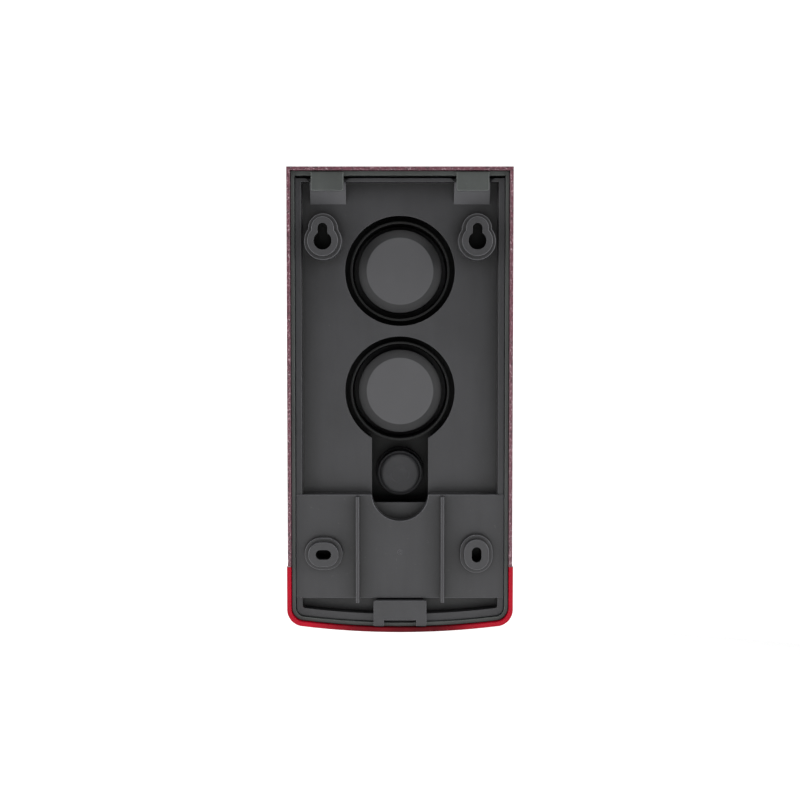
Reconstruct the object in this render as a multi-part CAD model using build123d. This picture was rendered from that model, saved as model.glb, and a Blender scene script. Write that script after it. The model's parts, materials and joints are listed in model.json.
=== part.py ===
from build123d import *
import os
from math import atan2, degrees, hypot, radians, sqrt, tan

# A small wall-hung pedestrian signal.  A moulded bracket is screwed to the wall and a sealed
# signal head hangs on its top edge by two hooks, held at the bottom by a spring latch.
# Origin: midway between the two upper wall screws, on the wall plane.  +Z is up, the wall is
# the plane Y = 0 and the head stands out from it towards -Y.  Every depth below is measured
# from the wall towards the front, so a depth d lies at Y = -d.  All sizes are in millimetres.

# ---- head outline: flat top, straight sides, shallow arc at the bottom ----
HEAD_WIDTH = 133.8
HEAD_HEIGHT = 276.3
HEAD_TOP = 36.1
BOTTOM_ARC_RADIUS = 476.0
CORNER_RADIUS = 10.0
CAP_HEIGHT = 39.2
CAP_PROUD = 0.5

# ---- walls and gaps, from the outside of the head inwards ----
COVER_WALL = 2.0
CAP_FLOOR = 2.6
SHELL_GAP = 0.3
FRAME_WALL = 2.1
FRAME_TOP_WALL = 2.5
TRAY_GAP = 0.3
TRAY_TOP_GAP = 1.4
RIM_SIDE = 3.7
RIM_TOP = 2.2
RIM_BOTTOM = 4.6

# ---- depths from the wall ----
COVER_BACK = 3.0
HOOK_BACK = 4.5
FRAME_BACK = 6.0
PLATE_BACK = 7.0
RIM_BACK = 8.0
FLOOR_BACK = 16.0
TRAY_WALL = 2.5
HEAD_GAP = 1.5
HOUSING_WALL = 2.5
COVER_FRONT = 66.0
FRONT_WALL = 2.5
FRONT_EDGE_RADIUS = 4.0

# ---- bracket ----
SCREW_SPACING = 91.0
SCREW_DROP = 193.2
SCREW_SLOT = 5.8
KEYHOLE_RADIUS = 5.3
KEYHOLE_DROP = 7.5
SLOT_LENGTH = 9.2
KEYHOLE_TIERS = ((5.8, 4.0), (3.7, 0.0))
SLOT_TIERS = ((6.75, 3.5), (4.4, 0.0))
BOSS_EDGE = 0.4
SCREW_SEAT = 5.0
SCREW_HEAD_GROW = 2.2
WELL_RADIUS = 33.0
CHANNEL_WIDTH = 34.0
CHANNEL_END = 164.0
PLATE_TOP = 158.2
PLATE_END_RISE = 19.8
PLATE_MOUTH = 174.0
RIB_SPACING = 50.4
RIB_WALL = 1.9
RIB_OVERRUN = 1.5

# ---- hooks and latch ----
HOOK_SPACING = 86.0
HOOK_WIDTH = 19.2
HOOK_LENGTH = 11.1
HOOK_WALL = 2.5
HOOK_SIDE_GAP = 1.1
HOOK_SEAT_GAP = 0.05
HOOK_POCKET_END = 15.3
HOOK_LEDGE_DEPTH = 10.8
LATCH_WIDTH = 31.6
LATCH_HEIGHT = 15.4
LATCH_END_RISE = 3.3
LATCH_BACK = 4.0
LATCH_WALL = 1.8
LATCH_ARM_WALL = 2.0
LATCH_NOTCH_WIDTH = 19.2
LATCH_NOTCH_DEPTH = 3.7
LATCH_NOSE_WIDTH = 4.0
LATCH_NOSE_REACH = 3.4
LATCH_GAP = 0.15

# ---- lamps ----
LAMP_DROP = 24.4
LAMP_PITCH = 72.2
RECESS_RADIUS = 34.5
RECESS_DEPTH = 20.0
COLLAR_RADIUS = 30.1
COLLAR_WALL = 1.5
COLLAR_BACK = 19.3
PORT_RADIUS = 21.0
PLUG_RADIUS = 25.0
PLUG_FLAT_RADIUS = 20.1
PLUG_BACK = 19.0
PLUG_BEVEL = 2.6
PLUG_FLANGE_GAP = 0.3
LENS_RADIUS = 29.3
LENS_THICKNESS = 3.0
LENS_DOME = 2.2
MASK_THICKNESS = 0.8
DIFFUSER_THICKNESS = 2.0
BEZEL_WALL = 2.0
BEZEL_FLANGE = 2.0
BEZEL_PROUD = 3.0
BEZEL_TUBE = 8.0
FIT = 0.2
SEAL_THICKNESS = 0.8
NUT_WIDTH = 3.2
NUT_THICKNESS = 3.0
BOARD_THICKNESS = 1.6
LED_BOARD_RADIUS = 33.0
LED_BOARD_STANDOFF = 3.5
LED_RADIUS = 2.5
LED_HEIGHT = 5.4
LED_PITCH = 9.0
CONE_RADIUS = 22.0
CONE_WALL = 4.8
VISOR_WALL = 1.5
VISOR_REACH = 22.0
VISOR_BASE = 3.0

# ---- cable entry ----
GROMMET_DROP = 147.2
GROMMET_RADIUS = 12.0
GROMMET_STEP = 1.6
GROMMET_STEP_BACK = 27.0
GROMMET_NECK = 9.0
GROMMET_FLANGE_RADIUS = 15.0
GROMMET_FLANGE = 2.5
GROMMET_BACK = 22.0
POCKET_MARGIN = 1.5
POCKET_FLOOR = 42.0

# ---- push button ----
BUTTON_DROP = 168.0
BUTTON_RADIUS = 17.0
BUTTON_PROUD = 6.0
BUTTON_TRAVEL = 3.0
BUTTON_FLANGE = 2.5
BUTTON_FLANGE_THICKNESS = 2.0
STEM_RADIUS = 3.5
SWITCH_WIDTH = 16.0
SWITCH_HEIGHT = 6.0
PLUNGER_RADIUS = 1.8
PLUNGER_REACH = 3.4
PLUNGER_SINK = 0.8
SPRING_RADIUS = 6.2
SPRING_WIRE = 0.6
SPRING_TURNS = 4.0

# ---- electronics ----
BOARD_BACK = 46.4
BOARD_WIDTH = 102.0
BOARD_TOP = 137.0
BOARD_BOTTOM = 208.0
BOARD_POST_RADIUS = 3.4
BOARD_POST_INSET = 5.0
SCREW_CORE = 1.2
SCREW_CLEAR = 0.1
COVER_SCREW_RADIUS = 1.6
COVER_SCREW_HEAD = 3.2
COVER_SCREW_X = 57.0
COVER_SCREW_DROPS = (-18.0, 60.5, 133.0)
CAP_SCREW_X = 50.0
CAP_SCREW_RISE = 21.2
COVER_BOSS_RADIUS = 4.6
COVER_CUP_DEPTH = 4.5
SOUNDER_PLACE = (36.0, -171.0)
SOUNDER_RADIUS = 11.5
SOUNDER_HEIGHT = 11.0
WAIT_BOARD_DEPTH = 50.0
WAIT_BOARD_RISE = 25.7
WAIT_BOARD_SIZE = (76.0, 9.0)
LEAD_RADIUS = 1.3
LED_SOCKET_X = 32.0

# ---- derived places ----
EPS = 0.01
COVER_IN = (COVER_WALL, COVER_WALL, CAP_FLOOR)
FRAME_OUT = tuple(value + SHELL_GAP for value in COVER_IN)
FRAME_IN = (FRAME_OUT[0] + FRAME_WALL, FRAME_OUT[1] + FRAME_TOP_WALL, FRAME_OUT[2] + FRAME_WALL)
RIM_OUT = (FRAME_IN[0] + TRAY_GAP, FRAME_IN[1] + TRAY_TOP_GAP, FRAME_IN[2] + TRAY_GAP)
RIM_IN = (RIM_OUT[0] + RIM_SIDE, RIM_OUT[1] + RIM_TOP, RIM_OUT[2] + RIM_BOTTOM)
TRAY_FRONT = FLOOR_BACK + TRAY_WALL
HOUSING_BACK = TRAY_FRONT + HEAD_GAP
HOUSING_INNER = HOUSING_BACK + HOUSING_WALL
HEAD_DROP = HEAD_HEIGHT - HEAD_TOP
SEAM = CAP_HEIGHT - HEAD_DROP
PLATE_BOTTOM = HEAD_DROP - PLATE_END_RISE
LATCH_BOTTOM = HEAD_DROP - LATCH_END_RISE
LATCH_TOP = LATCH_BOTTOM - LATCH_HEIGHT
CAP_SCREW_DROP = HEAD_DROP - CAP_SCREW_RISE
WAIT_BOARD_DROP = HEAD_DROP - WAIT_BOARD_RISE
COVER_INNER = COVER_FRONT - FRONT_WALL
BUTTON_FRONT = COVER_FRONT + BUTTON_PROUD
GASKET_BACK = COVER_INNER - 2.0
LAMP_CENTRES = (-LAMP_DROP, -LAMP_DROP - LAMP_PITCH)
RECESS_FLOOR = HOUSING_BACK + RECESS_DEPTH
LED_BOARD_BACK = RECESS_FLOOR + HOUSING_WALL + LED_BOARD_STANDOFF
LED_BOARD_FRONT = LED_BOARD_BACK + BOARD_THICKNESS
LENS_BACK = COVER_FRONT + 1.0 - LENS_THICKNESS
MASK_BACK = LENS_BACK - MASK_THICKNESS
DIFFUSER_BACK = MASK_BACK - DIFFUSER_THICKNESS
BEZEL_RADIUS = LENS_RADIUS + FIT
BEZEL_TUBE_BACK = COVER_FRONT - BEZEL_TUBE
BEZEL_OUTER = BEZEL_RADIUS + BEZEL_WALL + BEZEL_FLANGE
BOARD_FRONT = BOARD_BACK + BOARD_THICKNESS
BOARD_HALF = BOARD_WIDTH / 2
SCREW_X = SCREW_SPACING / 2
HOOK_X = HOOK_SPACING / 2
RIM_TOP_EDGE = HEAD_TOP - RIM_OUT[1]
SWITCH_FRONT = BOARD_FRONT + SWITCH_HEIGHT


def outline(insets, proud=0.0):
    """Head outline drawn inwards by side, top and bottom insets, in X and Z."""
    side, top, bottom = insets
    half = HEAD_WIDTH / 2 - side + proud
    upper = HEAD_TOP - top
    lower = HEAD_TOP - HEAD_HEIGHT + bottom
    radius = BOTTOM_ARC_RADIUS - bottom
    corner = lower + radius - sqrt(radius ** 2 - half ** 2)
    sides = Polyline((half, corner), (half, upper), (-half, upper), (-half, corner))
    arc = ThreePointArc((-half, corner), (0, lower), (half, corner))
    face = make_face([*sides.edges(), *arc.edges()])
    return fillet(face.vertices().sort_by(Axis.Y)[:2], CORNER_RADIUS - side)


def slab(sketch, back, front):
    """Solid of a sketch drawn in X and Z, from one depth to a larger one."""
    return extrude(Plane.XZ.offset(back) * sketch, amount=front - back)


def disc(x, z, radius, back, front):
    """Round slab with its axis along Y."""
    return slab(Pos(x, z) * Circle(radius), back, front)


def ring(x, z, outer, inner, back, front):
    """Round tube with its axis along Y."""
    return slab(Pos(x, z) * (Circle(outer) - Circle(inner)), back, front)


def block(x, z, width, height, back, front):
    """Rectangular slab centred on x and z."""
    return slab(Pos(x, z) * Rectangle(width, height), back, front)


def ease(solid, radius, depth):
    """Round the edges that lie in the plane at this depth."""
    edges = solid.edges().filter_by_position(Axis.Y, -depth - EPS, -depth + EPS)
    return fillet(edges, radius)


def stroke(start, end, width):
    """Round-ended bar between two points of a sketch."""
    middle = ((start[0] + end[0]) / 2, (start[1] + end[1]) / 2)
    run = (end[0] - start[0], end[1] - start[1])
    turn = degrees(atan2(run[1], run[0]))
    return Pos(*middle) * SlotCenterToCenter(hypot(*run), width, rotation=turn)


def keyhole(x, grow=0.0):
    """Keyhole for one wall screw: a round mouth below, a slot up to the screw's seat."""
    wide = KEYHOLE_RADIUS + grow
    narrow = SCREW_SLOT / 2 + grow
    rise = sqrt(wide ** 2 - narrow ** 2)
    if rise < KEYHOLE_DROP:
        neck = (narrow, rise - KEYHOLE_DROP)
        sides = [Line((side * neck[0], neck[1]), (side * narrow, 0)) for side in (-1, 1)]
        shoulder = (narrow, 0)
    else:
        rise = (KEYHOLE_DROP ** 2 + wide ** 2 - narrow ** 2) / (2 * KEYHOLE_DROP)
        neck = (sqrt(wide ** 2 - rise ** 2), rise - KEYHOLE_DROP)
        sides = []
        shoulder = neck
    bottom = ThreePointArc(neck, (0, -KEYHOLE_DROP - wide), (-neck[0], neck[1]))
    top = ThreePointArc((-shoulder[0], shoulder[1]), (0, narrow), shoulder)
    return Pos(x, 0) * make_face([bottom, top, *sides])


def lower_slot(side, grow=0.0):
    """Lower screw slot: lying down on the +X side, upright on the -X side."""
    centre = (side * SCREW_X, -SCREW_DROP)
    reach = (SLOT_LENGTH - SCREW_SLOT) / 2
    shift = (reach, 0) if side > 0 else (0, reach)
    start = (centre[0] - shift[0], centre[1] - shift[1])
    end = (centre[0] + shift[0], centre[1] + shift[1])
    return stroke(start, end, SCREW_SLOT + 2 * grow)


def mouth(width, top, bottom):
    """Slot with a round lower end, as the cable channel has in the bracket's plate."""
    half = width / 2
    straight = Pos(0, (top + bottom + half) / 2) * Rectangle(width, top - bottom - half)
    return straight + Pos(0, bottom + half) * Circle(half)


# ---- wall bracket ----

def tray():
    """Tray with a raised rim, open towards the wall, with the two lamp wells and the channel."""
    body = ease(slab(outline(RIM_OUT), RIM_BACK, TRAY_FRONT), 0.4, RIM_BACK)
    body -= slab(outline(RIM_IN), RIM_BACK - EPS, FLOOR_BACK)
    for z in LAMP_CENTRES:
        body -= disc(0, z, WELL_RADIUS, FLOOR_BACK - 1, TRAY_FRONT + 1)
    top = LAMP_CENTRES[1]
    centre = (top - CHANNEL_END) / 2
    return body - block(0, centre, CHANNEL_WIDTH, top + CHANNEL_END, FLOOR_BACK - 1, TRAY_FRONT + 1)


def lower_plate():
    """Raised step across the tray that carries the lower screws and the cable channel."""
    centre = -(PLATE_TOP + PLATE_BOTTOM) / 2
    window = Pos(0, centre) * Rectangle(HEAD_WIDTH, PLATE_BOTTOM - PLATE_TOP)
    shape = outline(RIM_OUT) & window
    shape -= mouth(CHANNEL_WIDTH, -PLATE_TOP + 1, -PLATE_MOUTH)
    step = ease(slab(shape, PLATE_BACK, TRAY_FRONT), 0.4, PLATE_BACK)
    inner = offset(shape, -TRAY_WALL, kind=Kind.INTERSECTION)
    return step - slab(inner, PLATE_BACK + TRAY_WALL, TRAY_FRONT + 1)


def hook_pocket(x):
    """Ramp that backs the lowered rim under one hook."""
    top = HEAD_TOP - RIM_IN[1]
    profile = Polyline(
        (-FLOOR_BACK - 1, HOOK_POCKET_END),
        (-FLOOR_BACK, HOOK_POCKET_END),
        (-HOOK_LEDGE_DEPTH, top),
        (-HOOK_LEDGE_DEPTH, top + 1),
        (-FLOOR_BACK - 1, top + 1),
        close=True,
    )
    half = HOOK_WIDTH / 2 + HOOK_SIDE_GAP
    return extrude(Plane.YZ.offset(x - half) * make_face(profile), amount=2 * half)


def hook_slot_flare(x, half):
    """Cut that splays the ends of the rim's top bar at 45 degrees, away from one hook."""
    low = RIM_TOP_EDGE - RIM_TOP
    high = RIM_TOP_EDGE + 1
    wide = half + high - low
    corners = ((x - half, low), (x + half, low), (x + wide, high), (x - wide, high))
    return slab(make_face(Polyline(*corners, close=True)), 0, HOOK_LEDGE_DEPTH)


def wall_bracket():
    """One moulding: tray, plate, screw bosses, cable ribs and the ledges for the hooks."""
    body = tray()
    centre = -(PLATE_TOP + PLATE_BOTTOM) / 2
    plate_height = PLATE_BOTTOM - PLATE_TOP
    under = mouth(CHANNEL_WIDTH, -PLATE_TOP + 1, -PLATE_MOUTH)
    floor_cut = outline(RIM_IN) & (Pos(0, centre) * Rectangle(HEAD_WIDTH, plate_height - 2 * TRAY_WALL))
    floor_cut -= offset(under, TRAY_WALL)
    body -= slab(floor_cut, RIM_BACK, TRAY_FRONT + 1)
    body += lower_plate()
    for side in (-1, 1):
        rib_height = plate_height - 0.7 + RIB_OVERRUN
        rib_z = -PLATE_BOTTOM - RIB_OVERRUN + rib_height / 2
        rib = block(side * RIB_SPACING / 2, rib_z, RIB_WALL, rib_height, 0, FLOOR_BACK)
        body += ease(rib, 0.4, 0)
        opening = HOOK_WIDTH + 2 * HOOK_SIDE_GAP
        body -= block(side * HOOK_X, RIM_TOP_EDGE, opening, 2 * RIM_TOP + 1, 0, HOOK_LEDGE_DEPTH)
        body -= hook_slot_flare(side * HOOK_X, opening / 2)
        body += hook_pocket(side * HOOK_X)
    for grow, back in KEYHOLE_TIERS:
        for side in (-1, 1):
            tier = slab(keyhole(side * SCREW_X, grow), back, FLOOR_BACK + 1)
            body += ease(tier, BOSS_EDGE, back)
    for grow, back in SLOT_TIERS:
        for side in (-1, 1):
            body += ease(slab(lower_slot(side, grow), back, PLATE_BACK + 1), BOSS_EDGE, back)
    for side in (-1, 1):
        body -= slab(keyhole(side * SCREW_X), -1, TRAY_FRONT + 1)
        body -= slab(keyhole(side * SCREW_X, SCREW_HEAD_GROW), SCREW_SEAT, TRAY_FRONT + 1)
        body -= slab(lower_slot(side), -1, TRAY_FRONT)
    nose = LATCH_NOSE_WIDTH + 2.0
    for side in (-1, 1):
        x = side * latch_nose_x()
        body -= block(x, frame_floor(x) + 1.8, nose, 4.6, RIM_BACK - 1, LATCH_BACK + LATCH_WALL + 6.0)
    return body


# ---- latch ----

def frame_floor(x):
    """Height of the inner face of the frame's bottom wall, this far from the centre line."""
    radius = BOTTOM_ARC_RADIUS - FRAME_IN[2]
    return HEAD_TOP - HEAD_HEIGHT + FRAME_IN[2] + radius - sqrt(radius ** 2 - x ** 2)


def latch_nose_x():
    """Distance of each latch nose from the centre line, beside the notch."""
    return (LATCH_NOTCH_WIDTH + LATCH_WIDTH) / 4


def latch_tab():
    """Springy tab: an arm off the tray floor, a flat tongue with a tool notch, and two noses."""
    foot = LATCH_ARM_WALL / 2
    pivot = FLOOR_BACK - foot - HOOK_SEAT_GAP
    arm_z = -LATCH_TOP - foot
    arm = block(0, arm_z, LATCH_WIDTH - 4, LATCH_ARM_WALL, LATCH_BACK + 1, pivot)
    foot_face = Plane.YZ.offset(-(LATCH_WIDTH - 4) / 2) * Pos(-pivot, arm_z) * Circle(foot)
    arm += extrude(foot_face, amount=LATCH_WIDTH - 4)
    height = LATCH_BOTTOM - LATCH_TOP
    tongue = Pos(0, -LATCH_TOP - height / 2) * RectangleRounded(LATCH_WIDTH, height, 0.8)
    notch = Pos(0, -LATCH_BOTTOM) * Rectangle(LATCH_NOTCH_WIDTH, 2 * LATCH_NOTCH_DEPTH)
    body = ease(slab(tongue - notch, LATCH_BACK, LATCH_BACK + LATCH_WALL), 0.35, LATCH_BACK) + arm
    nose_height = 1.6
    nose_z = frame_floor(latch_nose_x() + LATCH_NOSE_WIDTH / 2) + LATCH_GAP + nose_height / 2
    front = LATCH_BACK + LATCH_WALL
    for side in (-1, 1):
        x = side * latch_nose_x()
        body += block(x, nose_z, LATCH_NOSE_WIDTH, nose_height, front - 1, front + LATCH_NOSE_REACH)
    return body


# ---- rear housing of the head ----

def pocket(margin, back, front):
    """Deep channel below the lower lamp that gives the cable room to bend into the grommet."""
    top = LAMP_CENTRES[1]
    bottom = -CHANNEL_END - POCKET_MARGIN - margin
    width = CHANNEL_WIDTH + 2 * (POCKET_MARGIN + margin)
    return block(0, (top + bottom) / 2, width, top - bottom, back, front)


def hook(x):
    """Hook off the frame's top wall: a seat over the bracket's rim and a tab behind it."""
    frame_inner = HEAD_TOP - FRAME_IN[1]
    seat_floor = RIM_TOP_EDGE + HOOK_SEAT_GAP
    top = HEAD_TOP - FRAME_OUT[1] - 0.6
    seat = block(x, (frame_inner + 0.5 + seat_floor) / 2, HOOK_WIDTH, frame_inner + 0.5 - seat_floor,
                 HOOK_BACK + 0.5, HOUSING_BACK)
    face = Pos(x, top - HOOK_LENGTH / 2) * Rectangle(HOOK_WIDTH, HOOK_LENGTH)
    face = fillet(face.vertices().sort_by(Axis.Y)[:2], 1.4)
    return seat + ease(slab(face, HOOK_BACK, HOOK_BACK + HOOK_WALL), 0.5, HOOK_BACK)


def cover_screw_places():
    """Places of the screws that hold the cover, then the cap, to the housing."""
    cover = [(side * COVER_SCREW_X, -drop) for drop in COVER_SCREW_DROPS for side in (-1, 1)]
    cap = [(side * CAP_SCREW_X, -CAP_SCREW_DROP) for side in (-1, 1)]
    return cover, cap


def board_post_places():
    """Places of the four posts under the control board."""
    x = BOARD_HALF - BOARD_POST_INSET
    return [(side * x, z) for z in (-BOARD_TOP - BOARD_POST_INSET, -BOARD_BOTTOM + BOARD_POST_INSET)
            for side in (-1, 1)]


def led_post_places(z):
    """Places of the three posts under one lamp board."""
    return [(LED_BOARD_RADIUS * 0.9 * x, z + LED_BOARD_RADIUS * 0.9 * y)
            for x, y in ((0.0, 1.0), (-sqrt(3) / 2, -0.5), (sqrt(3) / 2, -0.5))]


def wait_post_places():
    """Places of the two posts under the wait lamp board."""
    x = WAIT_BOARD_SIZE[0] / 2 - 4.0
    return [(side * x, -WAIT_BOARD_DROP) for side in (-1, 1)]


def rear_housing():
    """Back half of the head: frame round the bracket, rear wall, lamp recesses and cable pocket."""
    body = ease(slab(outline(FRAME_OUT), FRAME_BACK, GASKET_BACK), 0.3, FRAME_BACK)
    body -= slab(outline(FRAME_IN), FRAME_BACK - 1, HOUSING_BACK)
    body -= slab(outline(FRAME_IN), HOUSING_INNER, GASKET_BACK + 1)
    for z in LAMP_CENTRES:
        body += disc(0, z, RECESS_RADIUS + HOUSING_WALL, HOUSING_BACK, RECESS_FLOOR + HOUSING_WALL)
    body += pocket(HOUSING_WALL, HOUSING_BACK, POCKET_FLOOR + HOUSING_WALL)
    for z in LAMP_CENTRES:
        body -= disc(0, z, RECESS_RADIUS, HOUSING_BACK - 1, RECESS_FLOOR)
    body -= pocket(0, HOUSING_BACK - 1, POCKET_FLOOR)
    for z in LAMP_CENTRES:
        collar = ring(0, z, COLLAR_RADIUS, COLLAR_RADIUS - COLLAR_WALL, COLLAR_BACK, RECESS_FLOOR + 1)
        body += ease(collar, 0.4, COLLAR_BACK)
        body -= disc(0, z, PORT_RADIUS, RECESS_FLOOR - 2, RECESS_FLOOR + HOUSING_WALL + 1)
        for x, y in led_post_places(z):
            post = ring(x, y, 2.6, SCREW_CORE + SCREW_CLEAR, RECESS_FLOOR + HOUSING_WALL / 2, LED_BOARD_BACK)
            body += post
    body -= disc(0, -GROMMET_DROP, GROMMET_NECK + FIT, POCKET_FLOOR - 1, POCKET_FLOOR + HOUSING_WALL + 1)
    for side in (-1, 1):
        body += hook(side * HOOK_X)
        window = block(side * latch_nose_x(), frame_floor(0) - FRAME_WALL / 2, LATCH_NOSE_WIDTH + 1.0,
                       FRAME_WALL + 1, LATCH_BACK + LATCH_WALL + 1.2, LATCH_BACK + LATCH_WALL + 3.8)
        body -= window
    for x, z in board_post_places():
        body += ring(x, z, BOARD_POST_RADIUS, SCREW_CORE + SCREW_CLEAR, HOUSING_INNER - 1, BOARD_BACK)
    for x, z in wait_post_places():
        body += ring(x, z, 2.8, SCREW_CORE + SCREW_CLEAR, HOUSING_INNER - 1, WAIT_BOARD_DEPTH)
    cup_floor = HOUSING_BACK + COVER_CUP_DEPTH
    for x, z in sum(cover_screw_places(), []):
        body += disc(x, z, COVER_SCREW_HEAD + 1.8, HOUSING_BACK, cup_floor + 2.0)
        body -= disc(x, z, COVER_SCREW_HEAD + 0.6, HOUSING_BACK - 1, cup_floor)
        body -= disc(x, z, COVER_SCREW_RADIUS + 0.2, HOUSING_BACK, cup_floor + 3)
    return body


def cable_grommet():
    """Blind rubber grommet: a domed plug, its flange on the pocket floor and a lip inside."""
    z = -GROMMET_DROP
    flange_back = POCKET_FLOOR - GROMMET_FLANGE
    lip_back = POCKET_FLOOR + HOUSING_WALL
    body = ease(disc(0, z, GROMMET_RADIUS, GROMMET_BACK, flange_back), 2.2, GROMMET_BACK)
    step_back = GROMMET_STEP_BACK
    body += ease(disc(0, z, GROMMET_RADIUS + GROMMET_STEP, step_back, flange_back), 0.6, step_back)
    body += ease(disc(0, z, GROMMET_FLANGE_RADIUS, flange_back, POCKET_FLOOR), 0.6, flange_back)
    body += disc(0, z, GROMMET_NECK, POCKET_FLOOR, lip_back)
    return body + disc(0, z, GROMMET_NECK + 2.0, lip_back, lip_back + 1.2)


def lamp_plug(z):
    """Bevelled plug that closes the service port behind one lamp."""
    flange_back = RECESS_FLOOR - 2.5
    face = disc(0, z, PLUG_RADIUS, PLUG_BACK, flange_back)
    edge = face.edges().filter_by_position(Axis.Y, -PLUG_BACK - EPS, -PLUG_BACK + EPS)
    body = chamfer(edge, PLUG_BEVEL, PLUG_RADIUS - PLUG_FLAT_RADIUS)
    flange_radius = COLLAR_RADIUS - COLLAR_WALL - PLUG_FLANGE_GAP
    body += disc(0, z, flange_radius, flange_back, RECESS_FLOOR)
    body += disc(0, z, PORT_RADIUS - 2.6, RECESS_FLOOR, RECESS_FLOOR + HOUSING_WALL)
    return body - disc(0, z, PORT_RADIUS - 4.6, PLUG_BACK + 4, RECESS_FLOOR + HOUSING_WALL + 1)


def plug_seals():
    """Rubber ring round each plug's spigot, in the service port."""
    inner = PORT_RADIUS - 2.5
    outer = PORT_RADIUS - 0.1
    depths = (RECESS_FLOOR + 0.05, RECESS_FLOOR + HOUSING_WALL - 0.2)
    return Compound([ring(0, z, outer, inner, *depths).solid() for z in LAMP_CENTRES])


# ---- cover, cap and what holds them ----

def outer_skin(proud=0.0):
    """Hollow skin of the whole head, open towards the wall, with rounded front edges."""
    skin = slab(outline((0, 0, 0), proud), COVER_BACK, COVER_FRONT + proud)
    skin = ease(skin, FRONT_EDGE_RADIUS, COVER_FRONT + proud)
    return skin - slab(outline(COVER_IN), COVER_BACK - 1, COVER_INNER)


def below_seam(level):
    """Everything below a height."""
    size = (2 * HEAD_WIDTH, 3 * COVER_FRONT, HEAD_HEIGHT)
    return Pos(0, -COVER_FRONT / 2, level - HEAD_HEIGHT / 2) * Box(*size)


def screw_boss(x, z):
    """Boss on the inside of the cover or cap that takes one screw from behind."""
    back = HOUSING_BACK + COVER_CUP_DEPTH + 2.2
    core = COVER_SCREW_RADIUS + 0.05
    return ring(x, z, COVER_BOSS_RADIUS, core, back, COVER_INNER + 0.5)


def sound_holes():
    """One hole in the middle and six round it, in front of the sounder."""
    holes = Sketch() + [Pos(*SOUNDER_PLACE) * Circle(1.3)]
    holes += [Pos(*SOUNDER_PLACE) * loc * Circle(1.3) for loc in PolarLocations(5.0, 6)]
    return slab(holes, COVER_INNER - 1, COVER_FRONT + 1)


def front_cover():
    """Painted cover with the lamp openings, the button opening and the sound holes."""
    body = outer_skin() - below_seam(SEAM)
    for x, z in cover_screw_places()[0]:
        body += screw_boss(x, z)
    for z in LAMP_CENTRES:
        body -= disc(0, z, BEZEL_RADIUS + BEZEL_WALL + FIT, COVER_INNER - 1, COVER_FRONT + 1)
    body -= disc(0, -BUTTON_DROP, button_tube_radius() + FIT, COVER_INNER - 1, COVER_FRONT + 1)
    return body - sound_holes()


def bottom_cap():
    """Glossy bottom cap that meets the cover at a straight seam."""
    body = outer_skin(CAP_PROUD) & below_seam(SEAM - 0.1)
    for x, z in cover_screw_places()[1]:
        body += screw_boss(x, z)
    return body


def cover_gasket():
    """Flat seal between the housing's front edge and the cover and cap."""
    inset = tuple(value + 0.1 for value in FRAME_OUT)
    inset_corner = ring_face(inset, FRAME_IN)
    return slab(inset_corner, GASKET_BACK, COVER_INNER)


def ring_face(outer, inner):
    """Band between two outlines."""
    return outline(outer) - outline(inner)


def screw(x, z, head, core, head_back, head_thickness, tip):
    """Pan-head screw driven towards the front, with a cross slot in its head."""
    body = ease(disc(x, z, head, head_back, head_back + head_thickness), 0.6, head_back)
    body += disc(x, z, core, head_back + head_thickness, tip)
    for turn in (0, 90):
        cut = Pos(x, z) * Rectangle(head * 1.2, 0.7, rotation=turn)
        body -= slab(cut, head_back - 1, head_back + 1.2)
    return body.solid()


def board_screw(x, z, front, length):
    """Small screw driven towards the wall, its head on the front of a board."""
    body = ease(disc(x, z, 2.1, front, front + 1.4), 0.4, front + 1.4)
    body += disc(x, z, SCREW_CORE, front - length, front)
    return body.solid()


def cover_screws():
    """The eight screws that hold the cover and the cap, driven from behind."""
    back = HOUSING_BACK + COVER_CUP_DEPTH - 2.6
    places = sum(cover_screw_places(), [])
    screws = [screw(x, z, COVER_SCREW_HEAD, COVER_SCREW_RADIUS, back, 2.6, back + 22) for x, z in places]
    return Compound(screws)


# ---- lamps ----

def lens_bezel(z):
    """Ring that holds a lens in the cover: a tube through the wall and a flange in front."""
    front = COVER_FRONT + BEZEL_PROUD
    body = ring(0, z, BEZEL_RADIUS + BEZEL_WALL, BEZEL_RADIUS, BEZEL_TUBE_BACK, COVER_FRONT + 1)
    flange = ring(0, z, BEZEL_OUTER, BEZEL_RADIUS, COVER_FRONT + SEAL_THICKNESS, front)
    body += ease(flange, 0.8, front)
    lip_back = LENS_BACK + LENS_THICKNESS + 0.05
    return body + ring(0, z, BEZEL_RADIUS + 0.5, BEZEL_RADIUS - 1.4, lip_back, front - 0.8)


def lens(z):
    """Clear lens, flat behind and gently domed in front."""
    front = LENS_BACK + LENS_THICKNESS
    body = disc(0, z, LENS_RADIUS, LENS_BACK, front)
    rim = BEZEL_RADIUS - 1.9
    ball = (rim ** 2 + LENS_DOME ** 2) / (2 * LENS_DOME)
    dome = Pos(0, -(front + LENS_DOME - ball), z) * Sphere(ball)
    return body + (dome & disc(0, z, rim, front - 1, front + LENS_DOME + 1))


def standing_figure():
    """Standing figure with its arms at its sides."""
    shape = Pos(0, 15.5) * Circle(4.0)
    shape += stroke((0, 7.5), (0, 1.0), 9.0)
    for side in (-1, 1):
        shape += stroke((side * 6.4, 8.0), (side * 6.9, -3.0), 2.8)
        shape += stroke((side * 2.4, 0.0), (side * 2.4, -18.0), 4.0)
    return shape


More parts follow.
